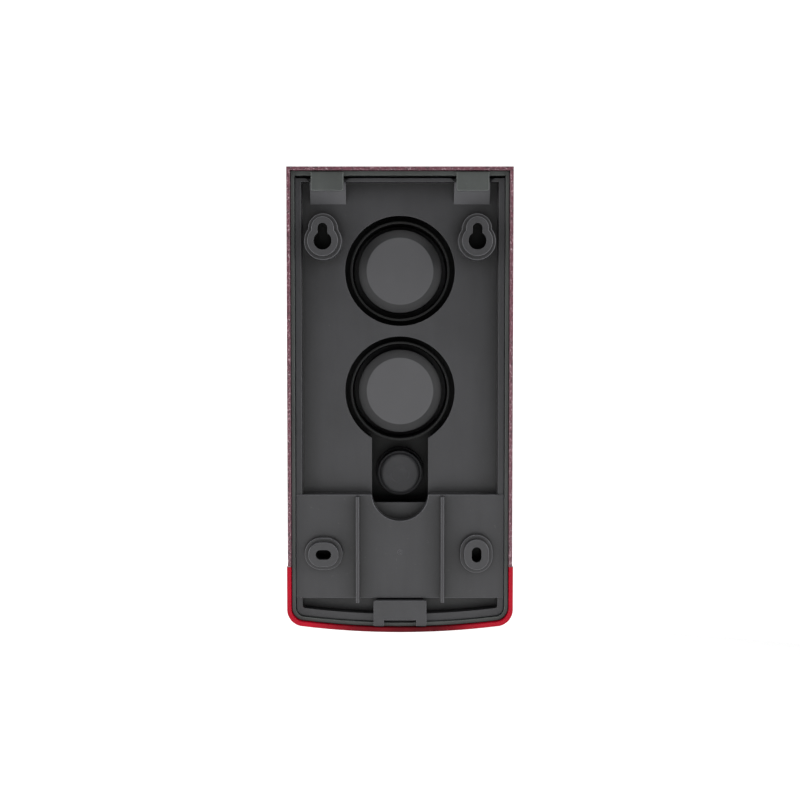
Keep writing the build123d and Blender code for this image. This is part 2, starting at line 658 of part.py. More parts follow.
def walking_figure():
    """Figure in mid stride, facing the lamp's left."""
    shape = Pos(-1.5, 15.5) * Circle(4.0)
    shape += stroke((-0.5, 7.5), (1.0, 0.5), 7.4)
    shape += stroke((-2.0, 8.0), (-8.5, 0.5), 2.8)
    shape += stroke((1.5, 8.0), (8.5, 1.0), 2.8)
    shape += stroke((0.0, -1.0), (-4.5, -9.0), 4.2)
    shape += stroke((-4.5, -9.0), (-6.0, -17.5), 3.6)
    shape += stroke((1.5, -1.0), (5.0, -9.0), 4.2)
    return shape + stroke((5.0, -9.0), (10.0, -16.0), 3.6)


def pictogram_mask(z, figure):
    """Black mask with the figure cut out of it."""
    return slab(Pos(0, z) * (Circle(LENS_RADIUS) - figure), MASK_BACK, LENS_BACK)


def lamp_barrel(z):
    """White light funnel between the lamp board and the diffuser."""
    shoulder = BEZEL_RADIUS + BEZEL_WALL - 0.3
    body = disc(0, z, LENS_RADIUS, BEZEL_TUBE_BACK, DIFFUSER_BACK)
    body += disc(0, z, shoulder, BEZEL_TUBE_BACK - 3.0, BEZEL_TUBE_BACK)
    body += disc(0, z, CONE_RADIUS + CONE_WALL, LED_BOARD_FRONT, BEZEL_TUBE_BACK - 3.0)
    back = Plane.XZ.offset(LED_BOARD_FRONT) * Pos(0, z) * Circle(CONE_RADIUS)
    front = Plane.XZ.offset(DIFFUSER_BACK) * Pos(0, z) * Circle(LENS_RADIUS - 1.5)
    return body - loft([back, front])


def led_places(z):
    """Nineteen places: one in the middle and two hexagonal rows round it."""
    places = []
    for row in range(-2, 3):
        count = 5 - abs(row)
        for step in range(count):
            x = (step - (count - 1) / 2) * LED_PITCH
            places.append((x, z + row * LED_PITCH * sqrt(3) / 2))
    return places


def leds(z):
    """Domed LEDs on the front of one lamp board."""
    bodies = []
    for x, y in led_places(z):
        front = LED_BOARD_FRONT + LED_HEIGHT
        bodies.append(ease(disc(x, y, LED_RADIUS, LED_BOARD_FRONT, front), LED_RADIUS - 0.1, front).solid())
    return Compound(bodies)


def led_board(z):
    """Round lamp board, screwed to three posts of the housing."""
    body = disc(0, z, LED_BOARD_RADIUS, LED_BOARD_BACK, LED_BOARD_FRONT)
    for x, y in led_post_places(z):
        body -= disc(x, y, SCREW_CORE + SCREW_CLEAR, LED_BOARD_BACK - 1, LED_BOARD_FRONT + 1)
    return body


def lamp_nut(z):
    """Ring nut that clamps a bezel to the cover from inside."""
    inner = BEZEL_RADIUS + BEZEL_WALL + 0.05
    shape = Circle(inner + NUT_WIDTH) - Circle(inner)
    shape -= [loc * Rectangle(2.0, 3.0) for loc in PolarLocations(inner + NUT_WIDTH, 8)]
    return slab(Pos(0, z) * shape, COVER_INNER - NUT_THICKNESS, COVER_INNER)


def visor(z):
    """Hood over the upper half of a lamp, long above and cut back at the sides."""
    inner = BEZEL_OUTER + FIT
    front = COVER_FRONT + VISOR_REACH
    body = ring(0, z, inner + VISOR_WALL, inner, COVER_FRONT, front)
    low = -(inner + VISOR_WALL + 1)
    profile = Polyline(
        (-front - 1, inner * 0.72),
        (-front - 1, low),
        (-COVER_FRONT - VISOR_BASE, low),
        (-COVER_FRONT - VISOR_BASE, -inner * 0.35),
        close=True,
    )
    cut = Plane.YZ.offset(-2 * inner) * Pos(0, z) * make_face(profile)
    return body - extrude(cut, amount=4 * inner)


# ---- push button ----

def button_tube_radius():
    """Outer radius of the bezel's tube in the cover."""
    return BUTTON_RADIUS + BUTTON_FLANGE + 2.0


def button_rest():
    """Depth of the front face of the button's flange at rest."""
    return COVER_INNER - 0.5


def button_bezel():
    """Raised guard ring; its bore guides the button and its step stops the button's flange."""
    z = -BUTTON_DROP
    tube = button_tube_radius()
    step = button_rest() + 0.3
    back = button_rest() - BUTTON_FLANGE_THICKNESS - BUTTON_TRAVEL - 1.5
    front = COVER_FRONT + 4.0
    body = ring(0, z, tube, BUTTON_RADIUS + 0.3, back, COVER_FRONT + SEAL_THICKNESS)
    flange = ring(0, z, tube + 3.5, BUTTON_RADIUS + 0.3, COVER_FRONT + SEAL_THICKNESS, front)
    body += ease(flange, 1.4, front)
    return body - disc(0, z, BUTTON_RADIUS + BUTTON_FLANGE + 0.3, back - 1, step)


def push_button():
    """Domed button with a retaining flange and a stem that works the switch."""
    z = -BUTTON_DROP
    rest = button_rest()
    flange_back = rest - BUTTON_FLANGE_THICKNESS
    body = ease(disc(0, z, BUTTON_RADIUS, flange_back, BUTTON_FRONT), 2.5, BUTTON_FRONT)
    body -= disc(0, z, BUTTON_RADIUS - 2.5, flange_back - 1, BUTTON_FRONT - 4)
    body += ring(0, z, BUTTON_RADIUS + BUTTON_FLANGE, BUTTON_RADIUS - 1, flange_back, rest)
    body += disc(0, z, STEM_RADIUS, SWITCH_FRONT + PLUNGER_REACH, BUTTON_FRONT - 3)
    return body + disc(0, z, SPRING_RADIUS + 1.6, spring_front(), BUTTON_FRONT - 3)


def spring_front():
    """Depth of the spring's seat under the button."""
    return BUTTON_FRONT - 6.0


def button_spring():
    """Return spring round the stem, between the switch and the button."""
    back = SWITCH_FRONT + SPRING_WIRE + 0.05
    height = spring_front() - SPRING_WIRE - 0.05 - back
    coil = Helix(height / SPRING_TURNS, height, SPRING_RADIUS)
    wire = sweep(Plane(origin=coil @ 0, z_dir=coil % 0) * Circle(SPRING_WIRE), path=coil)
    return Pos(0, -back, -BUTTON_DROP) * Rot(90, 0, 0) * wire


def button_switch():
    """Switch on the control board, with a bore for its plunger."""
    z = -BUTTON_DROP
    body = ease(block(0, z, SWITCH_WIDTH, SWITCH_WIDTH, BOARD_FRONT, SWITCH_FRONT), 0.5, SWITCH_FRONT)
    return body - disc(0, z, PLUNGER_RADIUS + 0.1, BOARD_FRONT + 0.8, SWITCH_FRONT + 1)


def switch_plunger():
    """Plunger under the button's stem, pressed with it into the switch."""
    return disc(0, -BUTTON_DROP, PLUNGER_RADIUS, SWITCH_FRONT - PLUNGER_SINK, SWITCH_FRONT + PLUNGER_REACH)


def button_nut():
    """Ring nut that clamps the button's bezel to the cover from inside."""
    inner = button_tube_radius() + 0.05
    shape = RegularPolygon(inner + 3.6, 8) - Circle(inner)
    return slab(Pos(0, -BUTTON_DROP) * shape, COVER_INNER - NUT_THICKNESS, COVER_INNER)


def front_seal(z, outer, inner):
    """Flat rubber ring between a bezel's flange and the cover."""
    return ring(0, z, outer - 0.4, inner + 0.1, COVER_FRONT, COVER_FRONT + SEAL_THICKNESS)


# ---- electronics ----

def control_board():
    """Control board with a bay round the grommet, on four posts."""
    centre = -(BOARD_TOP + BOARD_BOTTOM) / 2
    body = block(0, centre, BOARD_WIDTH, BOARD_BOTTOM - BOARD_TOP, BOARD_BACK, BOARD_FRONT)
    bay = GROMMET_FLANGE_RADIUS - 1.0
    body -= disc(0, -GROMMET_DROP, bay, BOARD_BACK - 1, BOARD_FRONT + 1)
    body -= block(0, -BOARD_TOP, 2 * bay, 2 * (GROMMET_DROP - BOARD_TOP), BOARD_BACK - 1, BOARD_FRONT + 1)
    for x, z in board_post_places():
        body -= disc(x, z, SCREW_CORE + SCREW_CLEAR, BOARD_BACK - 1, BOARD_FRONT + 1)
    return body


def board_screws():
    """Screws of the control board, the lamp boards and the wait lamp board."""
    short = BOARD_THICKNESS + LED_BOARD_STANDOFF - 0.6
    bodies = [board_screw(x, z, BOARD_FRONT, 8.0) for x, z in board_post_places()]
    for centre in LAMP_CENTRES:
        bodies += [board_screw(x, z, LED_BOARD_FRONT, short) for x, z in led_post_places(centre)]
    bodies += [board_screw(x, z, WAIT_BOARD_DEPTH + BOARD_THICKNESS, 8.0) for x, z in wait_post_places()]
    return Compound(bodies)


def power_module():
    """Potted power supply on the back of the control board."""
    return ease(block(-29, -186, 30, 24, BOARD_BACK - 18, BOARD_BACK), 0.8, BOARD_BACK - 18)


def relays():
    """Two lamp relays on the back of the control board."""
    top = BOARD_BACK - 15
    relay = [ease(block(x, -186, 12, 22, top, BOARD_BACK), 0.6, top) for x in (29, 42.5)]
    return Compound([body.solid() for body in relay])


def capacitors():
    """Three electrolytic capacitors on the back of the control board."""
    bodies = []
    for x in (-4.0, 6.5, 17.0):
        bodies.append(ease(disc(x, -188, 4.6, BOARD_BACK - 14, BOARD_BACK), 0.6, BOARD_BACK - 14).solid())
    return Compound(bodies)


def terminal_block():
    """Six-way terminal block on the front of the control board."""
    x, z = -34, -190
    body = block(x, z, 32, 11, BOARD_FRONT, BOARD_FRONT + 10)
    for way in range(6):
        place = x + (way - 2.5) * 5.08
        body -= disc(place, z + 1.5, 1.7, BOARD_FRONT + 8, BOARD_FRONT + 11)
        body -= block(place, z - 5.5, 3.0, 3.0, BOARD_FRONT + 2, BOARD_FRONT + 6)
    return body


def lead_sockets():
    """Sockets of the internal leads: two on the control board, one on each lamp board."""
    bodies = [block(x, -150, 6, 9, BOARD_FRONT, BOARD_FRONT + 6) for x in (34.0, 44.0)]
    face = LED_BOARD_FRONT
    bodies += [block(LED_SOCKET_X - 2.4, z, 4.8, 8, face, face + 5) for z in LAMP_CENTRES]
    return Compound([body.solid() for body in bodies])


def sounder():
    """Piezo sounder on the control board, behind the sound holes."""
    x, z = SOUNDER_PLACE
    front = BOARD_FRONT + SOUNDER_HEIGHT
    body = ease(disc(x, z, SOUNDER_RADIUS, BOARD_FRONT, front), 0.8, front)
    return body - disc(x, z, 2.0, front - 3, front + 1)


def wait_lamp_board():
    """Strip board of the lamp that glows through the bottom cap."""
    front = WAIT_BOARD_DEPTH + BOARD_THICKNESS
    body = block(0, -WAIT_BOARD_DROP, *WAIT_BOARD_SIZE, WAIT_BOARD_DEPTH, front)
    for x, z in wait_post_places():
        body -= disc(x, z, SCREW_CORE + SCREW_CLEAR, WAIT_BOARD_DEPTH - 1, front + 1)
    return body


def wait_leds():
    """Six flat LEDs on the wait lamp board."""
    front = WAIT_BOARD_DEPTH + BOARD_THICKNESS
    bodies = []
    for step in range(6):
        x = (step - 2.5) * 10.5
        bodies.append(ease(block(x, -WAIT_BOARD_DROP, 5, 5, front, front + 1.8), 0.4, front + 1.8).solid())
    return Compound(bodies)


def lead(points):
    """Round lead through chosen points, each corner as wide an arc as its runs allow."""
    route = [Vector(x, -depth, z) for x, depth, z in points]
    radii = []
    for start, corner, end in zip(route, route[1:], route[2:]):
        run_in = corner - start
        run_out = end - corner
        turn = run_in.get_angle(run_out)
        radii.append(0.45 * min(run_in.length, run_out.length) / tan(radians(turn / 2)))
    print("lead arc radii:", [round(radius, 1) for radius in radii])
    path = FilletPolyline(*route, radius=radii)
    return sweep(Plane(origin=path @ 0, z_dir=path % 0) * Circle(LEAD_RADIUS), path=path)


def upper_lead():
    """Lead from the control board to the upper lamp board."""
    top = LAMP_CENTRES[0]
    start = BOARD_FRONT + 6
    plane = LED_BOARD_FRONT + 2.5
    return lead([(44, start, -150), (44, start + 4, -150), (45, start + 6, -145.5), (46.5, start + 4.5, -133),
                 (45.5, start + 3.5, -112), (46.5, start + 3, -88), (45.5, start + 2, -64),
                 (46.5, plane + 2, top - 18), (44.5, plane + 0.4, top - 5.5), (39, plane, top), (LED_SOCKET_X, plane, top)])


def lower_lead():
    """Lead from the control board to the lower lamp board."""
    top = LAMP_CENTRES[1]
    start = BOARD_FRONT + 6
    plane = LED_BOARD_FRONT + 2.5
    return lead([(34, start, -150), (34, start + 4, -150), (35, start + 6, -145.5), (38, start + 5, -136),
                 (42.5, start + 2, -122), (44, plane + 1.5, top - 11), (42, plane + 0.4, top - 3),
                 (38, plane, top), (LED_SOCKET_X, plane, top)])


def wait_lead():
    """Short lead from the control board to the wait lamp board."""
    front = WAIT_BOARD_DEPTH + BOARD_THICKNESS
    return lead([(10.5, BOARD_FRONT, -200), (10.5, BOARD_FRONT + 5, -200), (10.6, BOARD_FRONT + 9, -203.5),
                 (10.6, front + 6.5, 4 - WAIT_BOARD_DROP), (10.5, front + 4.5, -WAIT_BOARD_DROP),
                 (10.5, front, -WAIT_BOARD_DROP)])


def lamp(name, z, figure):
    """All the nodes of one lamp, from the plug behind it to the visor in front."""
    return {
        f"lamp_plug_{name}": lamp_plug(z),
        f"led_board_{name}": led_board(z),
        f"leds_{name}": leds(z),
        f"lamp_barrel_{name}": lamp_barrel(z),
        f"diffuser_{name}": disc(0, z, LENS_RADIUS, DIFFUSER_BACK, MASK_BACK),
        f"pictogram_mask_{name}": pictogram_mask(z, figure),
        f"lens_{name}": lens(z),
        f"lens_bezel_{name}": lens_bezel(z),
        f"lens_seal_{name}": front_seal(z, BEZEL_OUTER, BEZEL_RADIUS + BEZEL_WALL),
        f"lamp_nut_{name}": lamp_nut(z),
        f"visor_{name}": visor(z),
    }


def main():
    """Build every node and write one file for each."""
    os.makedirs("parts", exist_ok=True)
    tube = button_tube_radius()
    nodes = {
        "wall_bracket": wall_bracket(),
        "latch_tab": latch_tab(),
        "rear_housing": rear_housing(),
        "cable_grommet": cable_grommet(),
        "plug_seals": plug_seals(),
        "front_cover": front_cover(),
        "bottom_cap": bottom_cap(),
        "cover_gasket": cover_gasket(),
        "cover_screws": cover_screws(),
        "control_board": control_board(),
        "board_screws": board_screws(),
        "power_module": power_module(),
        "relays": relays(),
        "capacitors": capacitors(),
        "terminal_block": terminal_block(),
        "lead_sockets": lead_sockets(),
        "sounder": sounder(),
        "wait_lamp_board": wait_lamp_board(),
        "wait_leds": wait_leds(),
        "upper_lead": upper_lead(),
        "lower_lead": lower_lead(),
        "wait_lead": wait_lead(),
        "push_button": push_button(),
        "button_bezel": button_bezel(),
        "button_seal": front_seal(-BUTTON_DROP, tube + 3.5, tube),
        "button_nut": button_nut(),
        "button_spring": button_spring(),
        "button_switch": button_switch(),
        "switch_plunger": switch_plunger(),
    }
    nodes.update(lamp("upper", LAMP_CENTRES[0], standing_figure()))
    nodes.update(lamp("lower", LAMP_CENTRES[1], walking_figure()))
    for name, shape in nodes.items():
        export_step(shape, f"parts/{name}.step")


main()
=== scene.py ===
"""Looks of a wall-hung pedestrian signal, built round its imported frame."""

from __future__ import annotations

import json
import logging
import math
from dataclasses import dataclass
from enum import Enum
from typing import Any

import bpy
import numpy as np
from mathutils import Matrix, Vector

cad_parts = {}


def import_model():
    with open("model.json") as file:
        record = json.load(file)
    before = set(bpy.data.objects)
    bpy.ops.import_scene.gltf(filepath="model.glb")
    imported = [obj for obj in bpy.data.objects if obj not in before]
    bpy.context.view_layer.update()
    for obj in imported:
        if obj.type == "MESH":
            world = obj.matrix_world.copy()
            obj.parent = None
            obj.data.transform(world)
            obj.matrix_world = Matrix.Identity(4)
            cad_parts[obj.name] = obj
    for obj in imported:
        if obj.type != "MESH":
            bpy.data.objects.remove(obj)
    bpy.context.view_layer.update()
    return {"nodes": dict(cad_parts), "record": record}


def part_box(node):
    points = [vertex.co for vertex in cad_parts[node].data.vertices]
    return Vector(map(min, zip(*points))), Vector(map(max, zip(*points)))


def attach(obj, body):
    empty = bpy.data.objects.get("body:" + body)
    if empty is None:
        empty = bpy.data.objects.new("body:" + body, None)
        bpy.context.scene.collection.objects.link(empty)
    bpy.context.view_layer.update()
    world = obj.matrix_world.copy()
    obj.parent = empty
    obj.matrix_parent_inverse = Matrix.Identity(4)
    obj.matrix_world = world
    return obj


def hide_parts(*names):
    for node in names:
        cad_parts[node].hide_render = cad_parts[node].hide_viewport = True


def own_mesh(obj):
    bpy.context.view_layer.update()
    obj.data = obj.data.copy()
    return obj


LOG = logging.getLogger("pedestrian_signal")
MM = 0.001

Colour = tuple[float, float, float]
Faces = list[list[int]]


# ---------------------------------------------------------------- shader maths


class Value:
    """A shader socket on which Python arithmetic adds Math nodes."""

    def __init__(self, graph: "Graph", socket: bpy.types.NodeSocket) -> None:
        """Wraps one output socket of a graph."""
        self.graph = graph
        self.socket = socket

    def _math(self, operation: str, first: Any, second: Any, clamp: bool = False) -> "Value":
        """Adds one Math node and returns its output."""
        settings = {"operation": operation, "use_clamp": clamp}
        node = self.graph.node("ShaderNodeMath", settings, {0: first, 1: second})
        return Value(self.graph, node.outputs[0])

    def __add__(self, other: Any) -> "Value":
        """Adds a value or number."""
        return self._math("ADD", self, other)

    def __radd__(self, other: Any) -> "Value":
        """Adds this to a number."""
        return self._math("ADD", other, self)

    def __sub__(self, other: Any) -> "Value":
        """Takes a value or number away."""
        return self._math("SUBTRACT", self, other)

    def __rsub__(self, other: Any) -> "Value":
        """Takes this away from a number."""
        return self._math("SUBTRACT", other, self)

    def __mul__(self, other: Any) -> "Value":
        """Multiplies by a value or number."""
        return self._math("MULTIPLY", self, other)

    def __rmul__(self, other: Any) -> "Value":
        """Multiplies a number by this."""
        return self._math("MULTIPLY", other, self)

    def __truediv__(self, other: Any) -> "Value":
        """Divides by a value or number."""
        return self._math("DIVIDE", self, other)

    def __pow__(self, other: Any) -> "Value":
        """Raises to a power."""
        return self._math("POWER", self, other)

    def clamped(self) -> "Value":
        """Limits the value to between 0 and 1."""
        return self._math("ADD", self, 0.0, clamp=True)

    def band(self, low: float, high: float) -> "Value":
        """Rises from 0 at low to 1 at high, or falls where low is the larger."""
        settings = {"interpolation_type": "SMOOTHSTEP", "clamp": True}
        inputs = {"Value": self, "From Min": low, "From Max": high}
        node = self.graph.node("ShaderNodeMapRange", settings, inputs)
        return Value(self.graph, node.outputs["Result"])


class Graph:
    """The node tree of one material, with one method that adds any node."""

    def __init__(self, name: str) -> None:
        """Starts an empty node tree for a new material."""
        self.material = bpy.data.materials.new(name)
        self.material.use_nodes = True
        self.tree = self.material.node_tree
        self.tree.nodes.clear()
        self._place: Value | None = None

    def node(self, kind: str, settings: dict[str, Any] | None = None,
             inputs: dict[Any, Any] | None = None) -> bpy.types.Node:
        """Adds one node.

        Args:
            kind: the node's type.
            settings: its properties, set first; "stops" fills a colour ramp.
            inputs: values or links of its sockets, by name or number.

        Returns:
            The new node.
        """
        node = self.tree.nodes.new(kind)
        for name, value in (settings or {}).items():
            if name == "stops":
                self._fill_ramp(node.color_ramp, value)
            else:
                setattr(node, name, value)
        for key, value in (inputs or {}).items():
            if isinstance(value, Value):
                self.tree.links.new(value.socket, node.inputs[key])
            else:
                node.inputs[key].default_value = value
        return node

    @staticmethod
    def _fill_ramp(ramp: bpy.types.ColorRamp, stops: list[tuple[float, Colour]]) -> None:
        """Gives a colour ramp its stops."""
        while len(ramp.elements) < len(stops):
            ramp.elements.new(1.0)
        for element, (position, colour) in zip(ramp.elements, stops):
            element.position = position
            element.color = (*colour, 1.0)

    @property
    def place(self) -> Value:
        """Object coordinates, in metres."""
        if self._place is None:
            self._place = Value(self, self.node("ShaderNodeTexCoord").outputs["Object"])
        return self._place

    def along(self, axis: str) -> Value:
        """One of the object coordinates, X, Y or Z, in metres."""
        return Value(self, self.node("ShaderNodeSeparateXYZ", {}, {0: self.place}).outputs[axis])

    def stretched(self, scale: tuple[float, float, float]) -> Value:
        """Object coordinates stretched along each axis."""
        node = self.node("ShaderNodeMapping", {}, {"Vector": self.place, "Scale": scale})
        return Value(self, node.outputs[0])

    def noise(self, cell_mm: float, detail: float = 2.0, rough: float = 0.5,
              vector: Value | None = None) -> Value:
        """Cloudy noise whose cells are about this many millimetres across, from 0 to 1."""
        inputs = {"Vector": vector or self.place, "Scale": 1.0 / (cell_mm * MM), "Detail": detail,
                  "Roughness": rough}
        return Value(self, self.node("ShaderNodeTexNoise", {}, inputs).outputs["Fac"])

    def cells(self, cell_mm: float, feature: str = "F1", vector: Value | None = None) -> Value:
        """Distance to the nearest of a field of points, in cells."""
        inputs = {"Vector": vector or self.place, "Scale": 1.0 / (cell_mm * MM)}
        node = self.node("ShaderNodeTexVoronoi", {"feature": feature}, inputs)
        return Value(self, node.outputs["Distance"])

    def mix(self, factor: Any, first: Any, second: Any) -> Value:
        """Mixes two colours."""
        pair = [value if isinstance(value, Value) else (*value, 1.0) for value in (first, second)]
        node = self.node("ShaderNodeMix", {"data_type": "RGBA"}, {0: factor, 6: pair[0], 7: pair[1]})
        return Value(self, node.outputs[2])

    def rounded_normal(self, radius_mm: float) -> Value:
        """Surface normal with the sharp edges rounded off by a radius."""
        node = self.node("ShaderNodeBevel", {"samples": 4}, {"Radius": radius_mm * MM})
        return Value(self, node.outputs[0])

    def edge(self, rounded: Value) -> Value:
        """How far the rounded normal leans from the true one: 0 on a flat, towards 1 on an edge."""
        true = Value(self, self.node("ShaderNodeNewGeometry").outputs["Normal"])
        inputs = {0: rounded, 1: true}
        dot = self.node("ShaderNodeVectorMath", {"operation": "DOT_PRODUCT"}, inputs)
        return (1.0 - Value(self, dot.outputs["Value"])).clamped()

    def open_share(self, reach_mm: float) -> Value:
        """How open the surface is around a point: 1 on a flat, less beside a wall of its own piece."""
        settings = {"samples": 8, "only_local": True}
        node = self.node("ShaderNodeAmbientOcclusion", settings, {"Distance": reach_mm * MM})
        return Value(self, node.outputs["AO"])

    def facing(self, axis: str) -> Value:
        """How squarely the surface faces along an axis, either way, from 0 to 1."""
        true = Value(self, self.node("ShaderNodeTexCoord").outputs["Normal"])
        part = Value(self, self.node("ShaderNodeSeparateXYZ", {}, {0: true}).outputs[axis])
        return Value(self, self.node("ShaderNodeMath", {"operation": "ABSOLUTE"}, {0: part}).outputs[0])

    def bump(self, height: Value, depth_mm: float, normal: Value | None = None,
             strength: float = 1.0) -> Value:
        """Normal disturbed by a height that is depth_mm tall where the height is 1."""
        inputs: dict[Any, Any] = {"Height": height, "Distance": depth_mm * MM, "Strength": strength}
        if normal is not None:
            inputs["Normal"] = normal
        return Value(self, self.node("ShaderNodeBump", {}, inputs).outputs[0])

    def finish(self, **sockets: Any) -> bpy.types.Material:
        """Closes the tree with a Principled shader; a socket's name has _ for each space."""
        inputs = {name.replace("_", " "): value for name, value in sockets.items()}
        shader = self.node("ShaderNodeBsdfPrincipled", {}, inputs)
        output = self.node("ShaderNodeOutputMaterial")
        self.tree.links.new(shader.outputs[0], output.inputs["Surface"])
        return self.material


# ---------------------------------------------------------------- finishes


def rgba(colour: Colour) -> tuple[float, float, float, float]:
    """A colour with full alpha."""
    return (*colour, 1.0)


def scaled(colour: Colour, factor: float) -> Colour:
    """A colour made lighter or darker."""
    return tuple(channel * factor for channel in colour)


@dataclass(frozen=True)
class MouldedPlastic:
    """Spark-eroded mould texture with faint flow marks, edges lightened partly by wear and partly as a
    painted highlight, and a little dust.

    Where deep_from is a depth, the walls drawn deeper than that are darker: painted shade in the
    recesses. Where corner_mm is a reach, the colour darkens within it, beside walls: painted shade
    in the corners. eased_lift is how much lighter the narrow rounded edges are that lie between the
    faces towards the wall and the walls that stand on them: a painted highlight on those edges.
    """

    name: str
    colour: Colour
    grain_mm: float = 0.45
    grain_depth_mm: float = 0.05
    roughness: float = 0.52
    edge_mm: float = 0.45
    edge_lift: float = 3.0
    dust: float = 0.05
    corner_mm: float | None = None
    corner_shade: float = 0.3
    specular: float = 0.42
    deep_from: float | None = None
    deep_shade: float = 0.07
    eased_lift: float | None = None

    def material(self) -> bpy.types.Material:
        """Builds the material."""
        graph = Graph(self.name)
        grain = graph.noise(self.grain_mm, detail=3.0, rough=0.6)
        cloud = graph.noise(28.0, detail=3.0)
        flow = graph.noise(7.0, detail=4.0, vector=graph.stretched((1.0, 1.0, 0.16)))
        specks = graph.noise(1.6, detail=1.0).band(0.70, 0.78) * graph.noise(11.0).band(0.45, 0.7)
        rounded = graph.rounded_normal(self.edge_mm)
        edge_wear_and_highlight = graph.edge(rounded).band(0.01, 0.16)
        tone = (cloud * 0.55 + flow * 0.45).band(0.30, 0.72)
        base = graph.mix(tone, scaled(self.colour, 0.86), scaled(self.colour, 1.14))
        # Edges lightened: partly handling wear, partly a painted highlight where the rounded edges catch the
        # light.
        base = graph.mix(edge_wear_and_highlight * 0.8, base, scaled(self.colour, self.edge_lift))
        # Painted shade: the colour darkens where walls of the same piece close round a point, as shade falls
        # beside them.
        if self.corner_mm is not None:
            corner_shade_mask = graph.open_share(self.corner_mm).band(0.96, 0.50)
            base = graph.mix(corner_shade_mask, base, scaled(self.colour, self.corner_shade))
        # Painted highlight: the narrow rounded edges that lean between facing the wall and facing sideways
        # are lightened, as if they caught the light.
        if self.eased_lift is not None:
            square = graph.facing("Y")
            eased_highlight = square.band(0.10, 0.25) * square.band(0.97, 0.88)
            base = graph.mix(eased_highlight * (0.55 + cloud * 0.45), base, scaled(self.colour, self.eased_lift))
        base = graph.mix(specks * self.dust, base, (0.30, 0.29, 0.27))
        rough = self.roughness + (grain - 0.5) * 0.22 + (cloud - 0.5) * 0.10 - edge_wear_and_highlight * 0.08
        # Painted shade: walls drawn deeper than deep_from darken towards deep_shade, as the recesses lie in
        # shade.
        if self.deep_from is not None:
            recess_shade = graph.along("Y").band(-self.deep_from * MM, -(self.deep_from + 3.0) * MM)
            base = graph.mix(recess_shade, base, scaled(self.colour, self.deep_shade))
        normal = graph.bump(grain, self.grain_depth_mm, rounded)
        return graph.finish(Base_Color=base, Roughness=rough, Normal=normal,
                            Specular_IOR_Level=self.specular)


@dataclass(frozen=True)
class TurnedPlastic:
    """Plug plastic: a satin face polished smooth, inside a textured bevel; the face is lighter and the bevel
    darker, partly as a painted reflection of the lights.
    """

    name: str
    face: Colour
    bevel: Colour
    face_radius: float
    centres: tuple[float, ...]

    def material(self) -> bpy.types.Material:
        """Builds the material; the face is where the distance to a lamp's axis is small."""
        graph = Graph(self.name)
        grain = graph.noise(0.35, detail=3.0, rough=0.6)
        cloud = graph.noise(16.0, detail=3.0).band(0.3, 0.7)
        masks = []
        for height in self.centres:
            settings = {"operation": "DISTANCE"}
            flat = Value(graph, graph.node("ShaderNodeMapping", {}, {
                "Vector": graph.place, "Scale": (1.0, 0.0, 1.0)}).outputs[0])
            inputs = {0: flat, 1: (0.0, 0.0, height * MM)}
            away = Value(graph, graph.node("ShaderNodeVectorMath", settings, inputs).outputs["Value"])
            edge = self.face_radius * MM
            masks.append(away.band(edge + 0.0002, edge - 0.0002))
        face = (masks[0] + masks[1]).clamped()
        rounded = graph.rounded_normal(0.35)
        edge_wear_and_highlight = graph.edge(rounded).band(0.02, 0.2)
        # Face lighter than the bevel: partly the two finishes, partly a painted reflection of the lights on
        # the flat face.
        base = graph.mix(face, self.bevel, self.face)
        base = graph.mix(cloud * 0.5, base, graph.mix(face, scaled(self.bevel, 0.85), scaled(self.face, 0.9)))
        # Edges lightened: partly wear, partly a painted highlight.
        base = graph.mix(edge_wear_and_highlight * 0.5, base, scaled(self.face, 1.5))
        rough = 0.62 - face * 0.14 + (grain - 0.5) * 0.18
        normal = graph.bump(grain, 0.03, rounded)
        return graph.finish(Base_Color=base, Roughness=rough, Normal=normal, Specular_IOR_Level=0.4)


@dataclass(frozen=True)
class SpeckledPaint:
    """Textured powder paint: a pebbled coat with pale and dark flecks."""

    name: str
    colour: Colour
    pale: Colour
    dark: Colour
    pebble_mm: float = 0.85

    def material(self) -> bpy.types.Material:
        """Builds the material."""
        graph = Graph(self.name)
        pebbles = graph.cells(self.pebble_mm, "SMOOTH_F1")
        fine = graph.noise(0.42, detail=3.0, rough=0.65)
        pale = (fine * 0.55 + graph.noise(1.1, detail=2.0) * 0.45).band(0.55, 0.61)
        dark = graph.noise(1.3, detail=2.0).band(0.55, 0.61)
        cloud = graph.noise(35.0, detail=2.0).band(0.3, 0.7)
        rounded = graph.rounded_normal(0.5)
        edge_wear_and_highlight = graph.edge(rounded).band(0.05, 0.35)
        base = graph.mix(cloud, scaled(self.colour, 0.9), scaled(self.colour, 1.1))
        base = graph.mix(dark * 0.8, base, self.dark)
        base = graph.mix(pale * 0.85, base, self.pale)
        # Edges lightened towards the pale fleck colour: partly wear, partly a painted highlight.
        base = graph.mix(edge_wear_and_highlight * 0.35, base, scaled(self.pale, 1.15))
        rough = 0.46 + (fine - 0.5) * 0.3 + pebbles * 0.12
        height = (1.0 - pebbles) * 0.6 + fine * 0.4
        normal = graph.bump(height, 0.16, rounded)
        return graph.finish(Base_Color=base, Roughness=rough, Normal=normal, Specular_IOR_Level=0.5)


